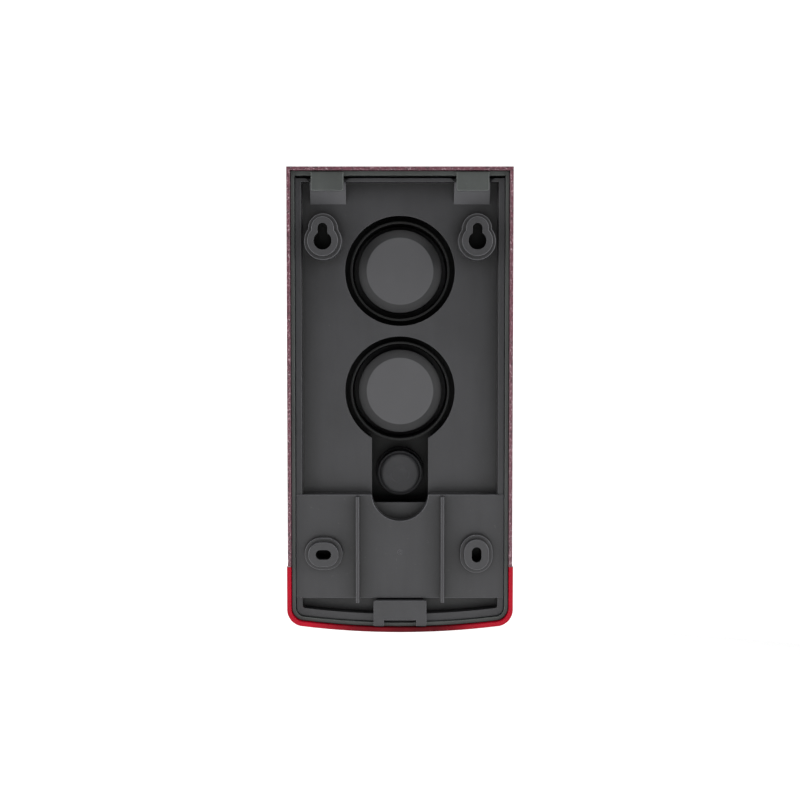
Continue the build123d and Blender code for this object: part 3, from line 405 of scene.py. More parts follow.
@dataclass(frozen=True)
class GlossPlastic:
    """Polished plastic with a deep colour, faint ripple and fine rubbing marks.

    Where a height is given, the plastic is darker and duller below it, near the middle, where
    the latch is pressed.
    """

    name: str
    colour: Colour
    roughness: float = 0.14
    edge_mm: float = 0.4
    coat: float = 0.35
    specular: float = 0.5
    darken_below: float | None = None
    darken_width: float = 55.0

    def material(self) -> bpy.types.Material:
        """Builds the material."""
        graph = Graph(self.name)
        cloud = graph.noise(22.0, detail=3.0).band(0.3, 0.7)
        ripple = graph.noise(3.5, detail=2.0)
        rub = graph.noise(0.5, detail=4.0, vector=graph.stretched((1.0, 1.0, 0.05))).band(0.62, 0.75)
        rounded = graph.rounded_normal(self.edge_mm)
        edge_wear_and_highlight = graph.edge(rounded).band(0.05, 0.4)
        base = graph.mix(cloud, scaled(self.colour, 0.84), scaled(self.colour, 1.08))
        # Edges lightened: partly wear, partly a painted highlight.
        base = graph.mix(edge_wear_and_highlight * 0.25, base, scaled(self.colour, 1.35))
        rough = self.roughness + rub * 0.10 + cloud * 0.04
        coat: Any = self.coat
        if self.darken_below is not None:
            # Darker and duller towards the bottom, near the middle and towards the back.
            across = graph.along("X")
            bottom_darkening = (across * across).band((self.darken_width * MM) ** 2, 0.0)
            bottom_darkening = bottom_darkening * graph.along("Z").band((self.darken_below + 4.0) * MM, self.darken_below * MM)
            bottom_darkening = bottom_darkening * graph.along("Y").band(-34.0 * MM, -20.0 * MM)
            bottom_darkening = (bottom_darkening * (0.75 + cloud * 0.35)).clamped()
            base = graph.mix(bottom_darkening, base, scaled(self.colour, 0.18))
            rough = rough + bottom_darkening * 0.18
            coat = self.coat * (1.0 - bottom_darkening)
        normal = graph.bump(ripple, 0.02, rounded)
        return graph.finish(Base_Color=base, Roughness=rough, Normal=normal, Coat_Weight=coat,
                            Coat_Roughness=0.06, Specular_IOR_Level=self.specular)


@dataclass(frozen=True)
class Rubber:
    """Dull elastomer with a fine skin and pale bloom in places."""

    name: str
    colour: Colour
    bloom: float = 0.25

    def material(self) -> bpy.types.Material:
        """Builds the material."""
        graph = Graph(self.name)
        skin = graph.noise(0.35, detail=3.0)
        bloom = graph.noise(6.0, detail=4.0, rough=0.6).band(0.45, 0.75)
        rounded = graph.rounded_normal(0.3)
        base = graph.mix(bloom * self.bloom, scaled(self.colour, 0.9), scaled(self.colour, 2.1))
        rough = 0.68 + (skin - 0.5) * 0.2
        normal = graph.bump(skin, 0.03, rounded)
        return graph.finish(Base_Color=base, Roughness=rough, Normal=normal, Specular_IOR_Level=0.35)


@dataclass(frozen=True)
class Metal:
    """Bare or plated metal with a drawn grain and dull patches."""

    name: str
    colour: Colour
    roughness: float = 0.32
    stretch: tuple[float, float, float] = (1.0, 1.0, 0.08)

    def material(self) -> bpy.types.Material:
        """Builds the material."""
        graph = Graph(self.name)
        drawn = graph.noise(0.25, detail=4.0, vector=graph.stretched(self.stretch))
        patches = graph.noise(5.0, detail=4.0, rough=0.6).band(0.4, 0.75)
        rounded = graph.rounded_normal(0.25)
        base = graph.mix(patches, self.colour, scaled(self.colour, 0.72))
        rough = self.roughness + (drawn - 0.5) * 0.2 + patches * 0.14
        normal = graph.bump(drawn, 0.012, rounded)
        return graph.finish(Base_Color=base, Metallic=1.0, Roughness=rough, Normal=normal)


@dataclass(frozen=True)
class CircuitBoard:
    """Solder resist over copper tracks and bare pads."""

    name: str
    resist: Colour
    track: Colour

    def material(self) -> bpy.types.Material:
        """Builds the material."""
        graph = Graph(self.name)
        lanes = graph.cells(3.2, "F1", graph.stretched((1.0, 0.1, 0.35)))
        cross = graph.cells(3.8, "F1", graph.stretched((0.35, 0.1, 1.0)))
        tracks = lanes.band(0.16, 0.10) + cross.band(0.15, 0.09)
        pads = graph.cells(6.5, "F1").band(0.10, 0.07)
        cloud = graph.noise(15.0)
        base = graph.mix(cloud, scaled(self.resist, 0.85), scaled(self.resist, 1.15))
        base = graph.mix(tracks.clamped() * 0.8, base, self.track)
        base = graph.mix(pads, base, (0.72, 0.68, 0.55))
        height = tracks.clamped() * 0.6 + pads * 0.4
        normal = graph.bump(height, 0.05)
        rough = 0.34 - pads * 0.1 + cloud * 0.08
        return graph.finish(Base_Color=base, Roughness=rough, Metallic=pads * 0.8, Normal=normal)


@dataclass(frozen=True)
class ClearPlastic:
    """Clear window plastic with a trace of haze and a wavy face."""

    name: str
    colour: Colour

    def material(self) -> bpy.types.Material:
        """Builds the material."""
        graph = Graph(self.name)
        haze = graph.noise(14.0, detail=4.0).band(0.4, 0.8)
        wave = graph.noise(6.0)
        base = graph.mix(haze, self.colour, scaled(self.colour, 0.93))
        normal = graph.bump(wave, 0.01)
        return graph.finish(Base_Color=base, Roughness=0.03 + haze * 0.07, Normal=normal,
                            Transmission_Weight=1.0, IOR=1.49)


@dataclass(frozen=True)
class Diffuser:
    """Milky coloured sheet, lit from behind where its lamp is on."""

    name: str
    colour: Colour
    glow: float

    def material(self) -> bpy.types.Material:
        """Builds the material."""
        graph = Graph(self.name)
        milk = graph.noise(9.0, detail=3.0).band(0.3, 0.7)
        pimples = graph.cells(1.1, "SMOOTH_F1")
        base = graph.mix(milk, scaled(self.colour, 0.85), scaled(self.colour, 1.12))
        light = graph.mix(pimples.band(0.0, 0.6), scaled(self.colour, 1.25), scaled(self.colour, 0.8))
        normal = graph.bump(1.0 - pimples, 0.08)
        return graph.finish(Base_Color=base, Roughness=0.4 + milk * 0.1, Normal=normal,
                            Emission_Color=light, Emission_Strength=self.glow)


FINISHES = {
    "bracket_plastic": MouldedPlastic("bracket_plastic", (0.0205, 0.0205, 0.0225), eased_lift=4.2,
                                      corner_mm=13.0),
    "housing_plastic": MouldedPlastic("housing_plastic", (0.046, 0.050, 0.048), roughness=0.46,
                                      deep_from=14.0, eased_lift=2.2, specular=0.2),
    "plug_plastic": TurnedPlastic("plug_plastic", (0.048, 0.048, 0.051), (0.013, 0.013, 0.014), 20.1,
                                  (-24.4, -96.6)),
    "rubber_black": Rubber("rubber_black", (0.024, 0.024, 0.026)),
    "cover_paint": SpeckledPaint("cover_paint", (0.080, 0.018, 0.030), (0.42, 0.30, 0.33),
                                 (0.020, 0.005, 0.009)),
    "cap_red": GlossPlastic("cap_red", (0.29, 0.0, 0.010), roughness=0.22, coat=0.0, specular=0.07,
                            darken_below=-234.0),
    "steel_zinc": Metal("steel_zinc", (0.66, 0.66, 0.63)),
    "spring_steel": Metal("spring_steel", (0.55, 0.55, 0.57), roughness=0.25),
    "board_green": CircuitBoard("board_green", (0.012, 0.11, 0.045), (0.05, 0.26, 0.12)),
    "module_black": MouldedPlastic("module_black", (0.018, 0.018, 0.019), roughness=0.42),
    "relay_blue": GlossPlastic("relay_blue", (0.02, 0.09, 0.30), roughness=0.3),
    "terminal_green": MouldedPlastic("terminal_green", (0.03, 0.24, 0.09), roughness=0.4),
    "socket_white": MouldedPlastic("socket_white", (0.66, 0.66, 0.62), edge_lift=1.1),
    "lead_grey": Rubber("lead_grey", (0.22, 0.22, 0.23), bloom=0.1),
    "trim_black": MouldedPlastic("trim_black", (0.015, 0.015, 0.016), roughness=0.48),
    "bezel_yellow": GlossPlastic("bezel_yellow", (0.80, 0.40, 0.012), roughness=0.22),
    "button_metal": Metal("button_metal", (0.62, 0.62, 0.63), roughness=0.3),
    "lens_clear": ClearPlastic("lens_clear", (0.95, 0.97, 0.97)),
    "diffuser_red": Diffuser("diffuser_red", (0.85, 0.02, 0.012), glow=1.6),
    "diffuser_green": Diffuser("diffuser_green", (0.012, 0.34, 0.12), glow=0.0),
    "led_red": GlossPlastic("led_red", (0.70, 0.03, 0.02), roughness=0.1),
    "led_green": GlossPlastic("led_green", (0.04, 0.55, 0.18), roughness=0.1),
}


class Wardrobe:
    """Makes each finish's material once and dresses objects in it."""

    def __init__(self) -> None:
        """Starts with no material made."""
        self._made: dict[str, bpy.types.Material] = {}

    def material(self, slot: str) -> bpy.types.Material:
        """The material of one slot, made when it is first asked for."""
        if slot not in self._made:
            self._made[slot] = FINISHES[slot].material()
        return self._made[slot]

    def dress(self, piece: bpy.types.Object, slot: str) -> None:
        """Puts one finish on an object, in place of whatever it had."""
        piece.data.materials.clear()
        piece.data.materials.append(self.material(slot))


# ---------------------------------------------------------------- surfaces


def signed_volume(points: np.ndarray, faces: np.ndarray) -> float:
    """Volume inside a closed surface: the sum of the cones from the origin to its quads."""
    a, b, c, d = (points[faces[:, k]] for k in range(4))
    return float((np.einsum("ij,ij->i", a, np.cross(b, c)) + np.einsum("ij,ij->i", a, np.cross(c, d))).sum())


def grid_faces(rows: int, columns: int, wrap_rows: bool) -> np.ndarray:
    """Quads of a grid whose columns close on themselves, and its rows too where asked."""
    last = rows if wrap_rows else rows - 1
    i, j = np.meshgrid(np.arange(last), np.arange(columns), indexing="ij")
    k, m = (i + 1) % rows, (j + 1) % columns
    quads = np.stack([i * columns + j, k * columns + j, k * columns + m, i * columns + m], -1)
    return quads.reshape(-1, 4)


def rounded_profile(corners: list[tuple[float, float, float]], closed: bool, steps: int = 6) -> np.ndarray:
    """Outline with each corner replaced by an arc that touches both of its sides.

    Args:
        corners: first and second coordinate and the arc's radius, one row for each corner.
        closed: whether the last corner joins the first.
        steps: points on each arc, less one.

    Returns:
        The points in order, one row each. A corner whose radius is 0 stays as it is. On an
        arc, the point at share t turns about the arc's centre from one touching point to the
        other, by t times the angle between them.
    """
    plain = np.array([corner[:2] for corner in corners], float)
    points: list[np.ndarray] = []
    for index, (_, _, radius) in enumerate(corners):
        here = plain[index]
        ends = not closed and index in (0, len(corners) - 1)
        if ends or radius <= 0.0:
            points.append(here[None])
            continue
        before = plain[index - 1] - here
        after = plain[(index + 1) % len(corners)] - here
        before, after = before / np.linalg.norm(before), after / np.linalg.norm(after)
        half = math.acos(float(np.clip(before @ after, -1, 1))) / 2
        middle = before + after
        centre = here + middle / np.linalg.norm(middle) * radius / math.sin(half)
        start = here + before * radius / math.tan(half) - centre
        end = here + after * radius / math.tan(half) - centre
        angle = math.atan2(start[0] * end[1] - start[1] * end[0], float(start @ end))
        turn = np.linspace(0.0, angle, steps + 1)
        arc = np.stack([start[0] * np.cos(turn) - start[1] * np.sin(turn),
                        start[0] * np.sin(turn) + start[1] * np.cos(turn)], -1)
        points.append(centre + arc)
    return np.concatenate(points)


def lathe(profile: np.ndarray, height: float, segments: int = 144) -> tuple[np.ndarray, Faces]:
    """Turns a profile about a line along Y.

    Args:
        profile: radius and depth of each point, in millimetres. A profile that starts and
            ends at radius 0 closes in two poles; any other closes on itself as a ring.
        height: Z of the axis, in millimetres.
        segments: points round each circle.

    Returns:
        Points and faces. A point of radius r and depth d at angle a lies at
        (r cos a, -d, height + r sin a).
    """
    poles = profile[0, 0] == 0.0 and profile[-1, 0] == 0.0
    body = profile[1:-1] if poles else profile
    angle = np.linspace(0.0, 2 * math.pi, segments, endpoint=False)
    x = np.outer(body[:, 0], np.cos(angle))
    z = np.outer(body[:, 0], np.sin(angle)) + height
    y = -np.repeat(body[:, 1:2], segments, axis=1)
    points = np.stack([x, y, z], -1).reshape(-1, 3) * MM
    quads = grid_faces(len(body), segments, wrap_rows=not poles)
    flip = signed_volume(points - points.mean(0), quads) < 0.0
    if flip:
        quads = quads[:, ::-1]
    faces = quads.tolist()
    if poles:
        ends = np.array([[0.0, -profile[0, 1], height], [0.0, -profile[-1, 1], height]]) * MM
        first, last = len(points), len(points) + 1
        points = np.concatenate([points, ends])
        here = np.arange(segments)
        ahead = (here + 1) % segments
        base = (len(body) - 1) * segments
        caps = [np.stack([np.full(segments, first), here, ahead], -1),
                np.stack([np.full(segments, last), base + ahead, base + here], -1)]
        faces += [list(face[::-1]) if flip else list(face) for cap in caps for face in cap.tolist()]
    return points, faces


def make_piece(name: str, points: np.ndarray, faces: Faces, smooth_deg: float = 32.0) -> bpy.types.Object:
    """Makes a mesh object from points and faces, smooth except across sharp edges."""
    mesh = bpy.data.meshes.new(name)
    mesh.from_pydata(points.tolist(), [], faces)
    mesh.validate()
    mesh.polygons.foreach_set("use_smooth", np.ones(len(mesh.polygons), bool))
    mesh.set_sharp_from_angle(angle=math.radians(smooth_deg))
    piece = bpy.data.objects.new(name, mesh)
    bpy.context.scene.collection.objects.link(piece)
    return piece


def span_mm(node: str) -> tuple[np.ndarray, np.ndarray]:
    """Lowest and highest corner of a CAD node, in millimetres."""
    low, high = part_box(node)
    return np.array(low) / MM, np.array(high) / MM


@dataclass(frozen=True)
class RoundNode:
    """Place of a round CAD node, in millimetres: its axis, radius and two depths."""

    height: float
    radius: float
    back: float
    front: float

    @classmethod
    def of(cls, node: str) -> "RoundNode":
        """Reads the place of one node from its box."""
        low, high = span_mm(node)
        return cls(float((low[2] + high[2]) / 2), float(high[0] - low[0]) / 2, -high[1], -low[1])


@dataclass
class Assembly:
    """A sub-assembly: it builds its pieces, dresses them and hangs them on a body."""

    wardrobe: Wardrobe
    body: str = "head"

    def fit(self, piece: bpy.types.Object, slot: str, *replaced: str) -> bpy.types.Object:
        """Dresses a piece, rides it on the body and lets it stand for CAD nodes."""
        self.wardrobe.dress(piece, slot)
        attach(piece, self.body)
        if replaced:
            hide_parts(*replaced)
        LOG.info("made %s with %d faces", piece.name, len(piece.data.polygons))
        return piece

    def build(self) -> None:
        """Builds every piece of the assembly."""
        raise NotImplementedError


class Aspect(Enum):
    """The two lamps."""

    UPPER = "upper"
    LOWER = "lower"


@dataclass
class Lamp(Assembly):
    """One lamp: the plug behind it and the lens, bezel and hood in front."""

    aspect: Aspect = Aspect.UPPER
    plug_edge: float = 0.5
    plug_face: float = 25.0
    plug_flat: float = 20.1
    plug_bevel: float = 2.6
    plug_flange: float = 2.5
    spigot: float = 18.4
    spigot_bore: float = 16.4
    spigot_floor: float = 4.0
    bezel_edge: float = 0.9
    lens_pillow: float = 0.35
    pillow_pitch: float = 4.0
    hood_rows: int = 28
    hood_segments: int = 160

    def node(self, part: str) -> str:
        """Name of one of this lamp's CAD nodes."""
        return f"{part}_{self.aspect.value}"

    def centre_height(self) -> float:
        """Height of the lamp's axis."""
        return RoundNode.of(self.node("lens")).height

    def plug(self) -> None:
        """Bevelled service plug, turned from its outline."""
        place = RoundNode.of(self.node("lamp_plug"))
        back, front, flange = place.back, place.front, place.radius
        flat, face = self.plug_flat, self.plug_face
        seat = front - self.plug_flange
        step, floor = seat - self.plug_flange, back + self.spigot_floor
        corners = [
            (0.0, back + 0.12, 0.0), (flat * 0.55, back + 0.10, 0.0), (flat - 1.2, back, 0.6),
            (flat, back, self.plug_edge), (face, back + self.plug_bevel, self.plug_edge),
            (face, step, 0.6), (flange, step, 0.4), (flange, seat, 0.0),
            (self.spigot, seat, 0.2), (self.spigot, front, 0.3),
            (self.spigot_bore, front, 0.3), (self.spigot_bore, floor, 0.6), (0.0, floor, 0.0),
        ]
        points, faces = lathe(rounded_profile(corners, closed=False), place.height)
        self.fit(make_piece(f"service_plug_{self.aspect.value}", points, faces), "plug_plastic",
                 self.node("lamp_plug"))

    def lens(self) -> None:
        """Domed lens with a field of small pillows moulded into its back.

        With r the distance from the axis, the front lies at front plus dome times one less
        the square of r over the rim's radius. The back lies at a plane plus the pillow's
        height times the product of two squared cosines, faded out towards the rim.
        """
        place = RoundNode.of(self.node("lens"))
        height, radius, back, crown = place.height, place.radius, place.back, place.front
        rim, flat = radius - 1.7, back + 3.0
        segments, rows = 180, 64
        angle = np.linspace(0.0, 2 * math.pi, segments, endpoint=False)
        share = np.linspace(0.0, 1.0, rows)[1:]
        front_r = np.concatenate([share * rim, [radius - 0.3, radius]])
        front_d = np.concatenate([flat + (crown - flat) * (1 - share ** 2), [flat, flat - 0.3]])
        back_r = np.concatenate([[radius, radius - 0.3], share[::-1] * (radius - 0.6)])
        x = np.outer(back_r, np.cos(angle))
        z = np.outer(back_r, np.sin(angle))
        fade = np.clip((radius - 2.0 - back_r) / 2.0, 0.0, 1.0)[:, None]
        turn = math.pi / self.pillow_pitch
        pillow = np.cos(turn * x) ** 2 * np.cos(turn * z) ** 2
        back_d = back + self.lens_pillow * (1.0 - pillow) * fade
        back_d[0] = back + 0.3
        ring_r = np.concatenate([front_r, back_r])
        depth = np.concatenate([np.repeat(front_d[:, None], segments, 1), back_d])
        x, z = np.outer(ring_r, np.cos(angle)), np.outer(ring_r, np.sin(angle)) + height
        points = np.stack([x, -depth, z], -1).reshape(-1, 3)
        quads = grid_faces(len(ring_r), segments, wrap_rows=False)
        ends = np.array([[0.0, -crown, height], [0.0, -back, height]])
        here, ahead = np.arange(segments), (np.arange(segments) + 1) % segments
        base = (len(ring_r) - 1) * segments
        caps = np.concatenate([np.stack([np.full(segments, len(points)), here, ahead], -1),
                               np.stack([np.full(segments, len(points) + 1), base + ahead, base + here], -1)])
        middle = points.mean(0)
        if signed_volume(points - middle, quads) < 0.0:
            quads, caps = quads[:, ::-1], caps[:, ::-1]
        points = np.concatenate([points, ends]) * MM
        piece = make_piece(f"prism_lens_{self.aspect.value}", points, quads.tolist() + caps.tolist(), 50.0)
        self.fit(piece, "lens_clear", self.node("lens"))

    def bezel(self) -> None:
        """Lens bezel turned from its outline: a tube with a rounded flange and an inner lip."""
        place = RoundNode.of(self.node("lens_bezel"))
        outer, back, front = place.radius, place.back, place.front
        bore, tube, seat = outer - 4.0, outer - 2.0, back + 8.8
        lip = back + 9.05
        corners = [
            (bore, back, 0.2), (tube, back, 0.3), (tube, seat, 0.2), (outer, seat, 0.3),
            (outer, front, self.bezel_edge), (bore + 0.5, front, 0.5), (bore - 1.4, front - 1.1, 0.3),
            (bore - 1.4, lip, 0.2), (bore, lip, 0.0),
        ]
        points, faces = lathe(rounded_profile(corners, closed=True), self.centre_height())
        self.fit(make_piece(f"bezel_ring_{self.aspect.value}", points, faces), "trim_black",
                 self.node("lens_bezel"))

    def hood(self) -> None:
        """Hood whose front edge sweeps back from the top to the sides.

        The wall is two cylinders closed at both ends. At angle a, where s is the height of
        the point over the axis as a share of the radius, the hood reaches from its base to
        the base plus the reach times a smooth step of s between its two limits.
        """
        place = RoundNode.of(self.node("visor"))
        outer, back, front = place.radius, place.back, place.front
        inner = outer - 1.5
        base, low_share, high_share = 3.0, -0.38, 0.74
        angle = np.linspace(0.0, 2 * math.pi, self.hood_segments, endpoint=False)
        share = np.clip((np.sin(angle) - low_share) / (high_share - low_share), 0.0, 1.0)
        sweep = share ** 2 * (3.0 - 2.0 * share)
        reach = base + (front - back - base) * sweep
        along = np.linspace(0.0, 1.0, self.hood_rows)
        middle = (inner + outer) / 2
        lip_r = np.array([outer - 0.22, middle + 0.3, middle - 0.3, inner + 0.22])
        lip_rise = np.array([0.3, 0.5, 0.5, 0.3])
        radii = np.concatenate([np.full(self.hood_rows, outer), lip_r, np.full(self.hood_rows, inner)])
        shares = np.concatenate([along, np.ones(len(lip_r)), along[::-1]])
        depth = back + shares[:, None] * (reach[None, :] - 0.5)
        depth[self.hood_rows:self.hood_rows + len(lip_r)] += lip_rise[:, None]
        height = self.centre_height()
        x = radii[:, None] * np.cos(angle)
        z = radii[:, None] * np.sin(angle) + height
        points = np.stack([x, -depth, z], -1).reshape(-1, 3)
        quads = grid_faces(len(radii), self.hood_segments, wrap_rows=True)
        if signed_volume(points - points.mean(0), quads) < 0.0:
            quads = quads[:, ::-1]
        piece = make_piece(f"hood_{self.aspect.value}", points * MM, quads.tolist(), 50.0)
        self.fit(piece, "trim_black", self.node("visor"))

    def build(self) -> None:
        """Builds the plug, lens, bezel and hood."""
        self.plug()
        self.lens()
        self.bezel()
        self.hood()


@dataclass
class CableEntry(Assembly):
    """The blind rubber grommet in its pocket."""

    edge: float = 2.2
    dimple: float = 0.25

    def build(self) -> None:
        """Grommet turned from its outline: dimpled face, shoulder, flange and inner lip."""
        place = RoundNode.of("cable_grommet")
        flange, back, front = place.radius, place.back, place.front
        lip_back = front - 1.2
        floor = lip_back - 2.5
        seat = floor - 2.5
        radius = flange - 3.0
        step, shoulder = 1.6, back + 5.0
        corners = [
            (0.0, back + self.dimple, 0.0), (5.2, back + self.dimple, 0.4), (5.9, back, 0.4),
            (radius, back, self.edge), (radius, shoulder, 0.5), (radius + step, shoulder, 0.6),
            (radius + step, seat, 0.5), (flange, seat, 0.6), (flange, floor, 0.2),
            (9.0, floor, 0.3), (9.0, lip_back, 0.3), (11.0, lip_back, 0.3), (11.0, front, 0.5),
            (0.0, front, 0.0),
        ]
        points, faces = lathe(rounded_profile(corners, closed=False, steps=8), place.height)
        self.fit(make_piece("blind_grommet", points, faces), "rubber_black", "cable_grommet")


@dataclass
class PushButton(Assembly):
    """The domed button; it rides on the button's own body."""

    body: str = "button"
    crown: float = 1.1

    def build(self) -> None:
        """Button turned from its outline: domed face with a shallow ring, skirt and stem."""
        place = RoundNode.of("push_button")
        flange, back, front = place.radius, place.back, place.front
        radius = flange - 2.5
        flange_front = front - 9.0
        flange_back = flange_front - 2.0
        hollow = front - 4.0
        spring_seat = front - 6.0
        corners = [
            (0.0, front, 0.0), (6.5, front - 0.10, 3.0), (7.3, front - 0.55, 0.4), (8.6, front - 0.55, 0.4),
            (9.4, front - 0.25, 3.0), (radius - 1.6, front - self.crown, 2.0), (radius, front - 2.6, 0.8),
            (radius, flange_front, 0.3), (flange, flange_front, 0.3), (flange, flange_back, 0.3),
            (radius - 2.5, flange_back, 0.3), (radius - 2.5, hollow, 0.5), (7.8, hollow, 0.3),
            (7.8, spring_seat, 0.3), (3.5, spring_seat, 0.3), (3.5, back, 0.3), (0.0, back, 0.0),
        ]
        points, faces = lathe(rounded_profile(corners, closed=False), place.height)
        self.fit(make_piece("button_face", points, faces, 40.0), "button_metal", "push_button")


@dataclass
class ButtonGuard(Assembly):
    """The raised guard round the button and the spring behind it."""

    turns: float = 4.0
    wire: float = 0.6
    travel: float = 3.15
    tube_segments: int = 14
    path_steps: int = 360

    def guard(self) -> None:
        """Guard ring turned from its outline, with its step for the button's flange."""
        place = RoundNode.of("button_bezel")
        outer, back, front = place.radius, place.back, place.front
        tube, seat = outer - 3.5, front - 3.2
        bore, chamber = outer - 7.7, outer - 5.2
        step = front - 6.7
        corners = [
            (chamber, back, 0.2), (tube, back, 0.3), (tube, seat, 0.2), (outer, seat, 0.3),
            (outer, front, 2.0), (bore, front, 1.2), (bore, step, 0.2), (chamber, step, 0.2),
        ]
        points, faces = lathe(rounded_profile(corners, closed=True, steps=8), place.height)
        self.fit(make_piece("guard_ring", points, faces), "bezel_yellow", "button_bezel")

    def spring(self) -> None:
        """Coil spring: a circle carried along a helix.

        With t from 0 to 1, the helix lies at (R cos 2 pi n t, depth, R sin 2 pi n t) and its
        depth goes from one seat to the other in a smooth step, so that both end turns lie
        nearly flat. The circle stands on the path's own outward and side directions.
        """
        low, high = span_mm("button_spring")
        height = float((low[2] + high[2]) / 2)
        radius = float(high[0] - low[0]) / 2 - self.wire
        start, end = -high[1] + self.wire, -low[1] - self.wire
        share = np.linspace(0.0, 1.0, self.path_steps)
        turn = 2 * math.pi * self.turns * share
        ease = share + 0.10 * np.sin(4 * math.pi * share) * -0.5
        depth = start + (end - start) * ease
        centre = np.stack([radius * np.cos(turn), -depth, radius * np.sin(turn)], -1)
        outward = np.stack([np.cos(turn), np.zeros_like(turn), np.sin(turn)], -1)
        tangent = np.gradient(centre, axis=0)
        tangent /= np.linalg.norm(tangent, axis=1)[:, None]
        side = np.cross(tangent, outward)
        about = np.linspace(0.0, 2 * math.pi, self.tube_segments, endpoint=False)[None, :, None]
        ring = outward[:, None] * np.cos(about) + side[:, None] * np.sin(about)
        points = (centre[:, None] + self.wire * ring).reshape(-1, 3)
        quads = grid_faces(self.path_steps, self.tube_segments, wrap_rows=False)
        if signed_volume(points - points.mean(0), quads) < 0.0:
            quads = quads[:, ::-1]
        caps = [list(range(self.tube_segments)), list(range(len(points) - self.tube_segments, len(points)))]
        caps[1 if quads[0][0] == 0 else 0].reverse()
        points[:, 2] += height
        piece = make_piece("return_spring", points * MM, quads.tolist() + caps)
        self.fit(piece, "spring_steel", "button_spring")
        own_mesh(piece)

    def build(self) -> None:
        """Builds the guard and the spring."""
        self.guard()
        self.spring()


@dataclass
class BracketMarks(Assembly):
    """The mould's gate mark on the bracket's plate."""

    body: str = "bracket"
    plate_depth: float = 7.0
    gate_drop: float = 192.7
    gate_radius: float = 1.5

    def build(self) -> None:
        """Low ring round a small sprue stub."""
        r, d = self.gate_radius, self.plate_depth
        corners = [
            (0.0, d - 0.28, 0.0), (r * 0.45, d - 0.24, 0.1), (r * 0.55, d - 0.05, 0.1),
            (r, d - 0.12, 0.1), (r * 1.15, d + 0.06, 0.0), (0.0, d + 0.06, 0.0),
        ]
        points, faces = lathe(rounded_profile(corners, closed=False, steps=3), -self.gate_drop, 40)
        self.fit(make_piece("gate_mark", points, faces), "bracket_plastic")


# ---------------------------------------------------------------- studio


@dataclass(frozen=True)
class SoftBox:
    """One square soft light: its place and size in metres and its power in watts."""

    name: str
    place: tuple[float, float, float]
    size: float
    power: float


SOFT_BOXES = (
    SoftBox("right", (-1.15, 0.42, 0.20), 1.0, 17.0),
    SoftBox("left", (1.15, 0.42, 0.00), 1.0, 14.0),
    SoftBox("above", (0.0, 0.45, 1.10), 0.9, 9.0),
    SoftBox("low", (-0.02, 0.95, -0.42), 0.5, 2.5),
    SoftBox("front", (0.55, -1.10, 0.70), 0.9, 20.0),
    SoftBox("front_fill", (-0.85, -0.90, 0.10), 0.9, 9.0),
)


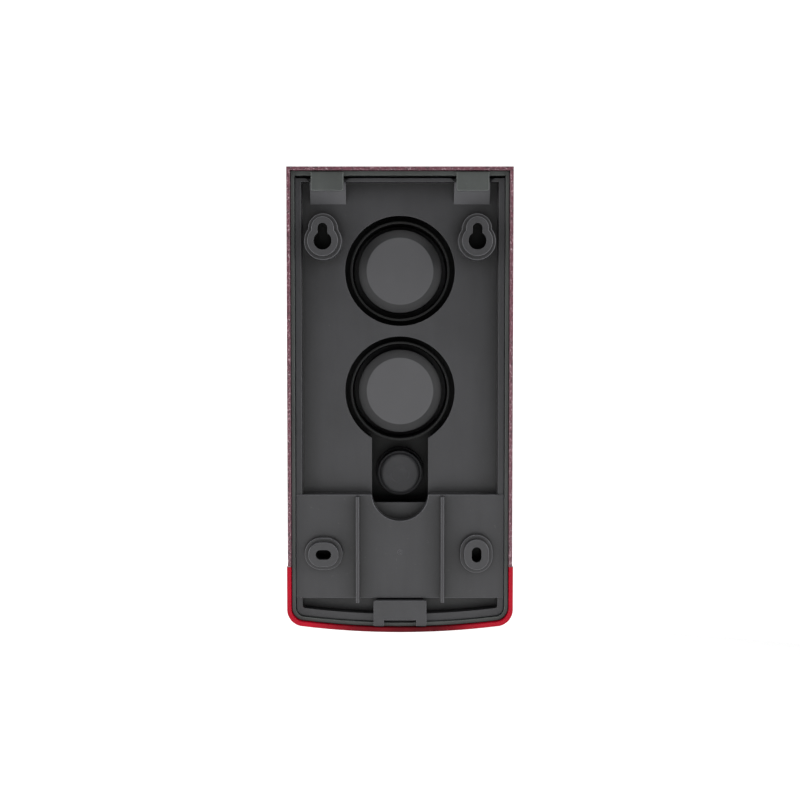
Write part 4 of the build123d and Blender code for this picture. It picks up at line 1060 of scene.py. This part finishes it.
@dataclass
class Studio:
    """Camera, lights and the pale floor."""

    target: tuple[float, float, float] = (0.0, -0.003, -0.1013)
    distance: float = 0.75
    elevation_deg: float = 2.7
    lens_over_sensor: float = 1.5825
    floor_height: float = -0.62
    floor_size: float = 3.2
    floor_cells: int = 40
    floor_glow: float = 0.35
    surround: float = 0.24
    backdrop: float = 1.3

    def camera(self) -> None:
        """Camera behind the object, a little above its middle."""
        rise = math.radians(self.elevation_deg)
        target = Vector(self.target)
        back = Vector((0.0, math.cos(rise), math.sin(rise)))
        data = bpy.data.cameras.new("camera")
        data.sensor_width = 36.0
        data.lens = data.sensor_width * self.lens_over_sensor
        data.clip_start = 0.01
        camera = bpy.data.objects.new("camera", data)
        camera.location = target + back * self.distance
        camera.rotation_mode = "QUATERNION"
        camera.rotation_quaternion = (-back).to_track_quat("-Z", "Y")
        bpy.context.scene.collection.objects.link(camera)
        bpy.context.scene.camera = camera

    def floor(self) -> None:
        """Pale round floor: one gently hollowed sheet that glows a little, as a light table does.

        A square grid from -1 to 1 is drawn into a disc: each coordinate is shortened by the square
        root of one less half the other's square.
        """
        side = self.floor_cells + 1
        share = np.linspace(-1.0, 1.0, side)
        u, v = np.meshgrid(share, share, indexing="ij")
        x, y = u * np.sqrt(1.0 - v ** 2 / 2), v * np.sqrt(1.0 - u ** 2 / 2)
        far = np.maximum(np.hypot(x, y) - 0.6, 0.0)
        z = self.floor_height + 0.05 * self.floor_size * far ** 2
        points = np.stack([x * self.floor_size / 2, y * self.floor_size / 2, z], -1).reshape(-1, 3)
        i, j = np.meshgrid(np.arange(side - 1), np.arange(side - 1), indexing="ij")
        first = i * side + j
        quads = np.stack([first, first + side, first + side + 1, first + 1], -1)
        floor = make_piece("floor", points, quads.reshape(-1, 4).tolist())
        graph = Graph("studio_floor")
        cloud = graph.noise(400.0)
        base = graph.mix(cloud, (0.88, 0.88, 0.88), (0.90, 0.90, 0.90))
        floor.data.materials.append(graph.finish(
            Base_Color=base, Roughness=0.9, Specular_IOR_Level=0.1, Emission_Color=rgba((1.0, 1.0, 1.0)),
            Emission_Strength=self.floor_glow))

    def lamp(self, box: SoftBox) -> None:
        """Adds one soft light that faces the target."""
        data = bpy.data.lights.new(box.name, "AREA")
        data.shape, data.size, data.energy = "SQUARE", box.size, box.power
        light = bpy.data.objects.new(box.name, data)
        light.location = box.place
        light.rotation_mode = "QUATERNION"
        light.rotation_quaternion = (Vector(self.target) - Vector(box.place)).to_track_quat("-Z", "Y")
        bpy.context.scene.collection.objects.link(light)

    def build(self) -> None:
        """Builds the camera, floor, lights and white surroundings."""
        scene = bpy.context.scene
        scene.view_settings.view_transform = "Standard"
        world = bpy.data.worlds.new("surroundings")
        world.use_nodes = True
        tree = world.node_tree
        background = tree.nodes["Background"]
        background.inputs["Color"].default_value = (1.0, 1.0, 1.0, 1.0)
        path = tree.nodes.new("ShaderNodeLightPath")
        level = tree.nodes.new("ShaderNodeMapRange")
        level.inputs["To Min"].default_value = self.surround
        level.inputs["To Max"].default_value = self.backdrop
        tree.links.new(path.outputs["Is Camera Ray"], level.inputs["Value"])
        tree.links.new(level.outputs["Result"], background.inputs["Strength"])
        scene.world = world
        self.camera()
        self.floor()
        for box in SOFT_BOXES:
            self.lamp(box)


def dress_frame(frame: dict[str, Any], wardrobe: Wardrobe) -> None:
    """Puts the finish of its material slot on every CAD node."""
    for part in frame["record"]["subparts"]:
        wardrobe.dress(frame["nodes"][part["node"]], part["material_slot"])


def corners(box: tuple[Vector, Vector]) -> list[list[float]]:
    """A box as plain lists."""
    return [list(corner) for corner in box]


def main() -> None:
    """Builds the studio, dresses the frame and adds the new pieces."""
    logging.basicConfig(level=logging.INFO)
    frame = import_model()
    wardrobe = Wardrobe()
    Studio().build()
    dress_frame(frame, wardrobe)
    assemblies: list[Assembly] = [Lamp(wardrobe, aspect=aspect) for aspect in Aspect]
    assemblies += [CableEntry(wardrobe), PushButton(wardrobe), ButtonGuard(wardrobe), BracketMarks(wardrobe)]
    for assembly in assemblies:
        assembly.build()


if __name__ == "__main__":
    main()
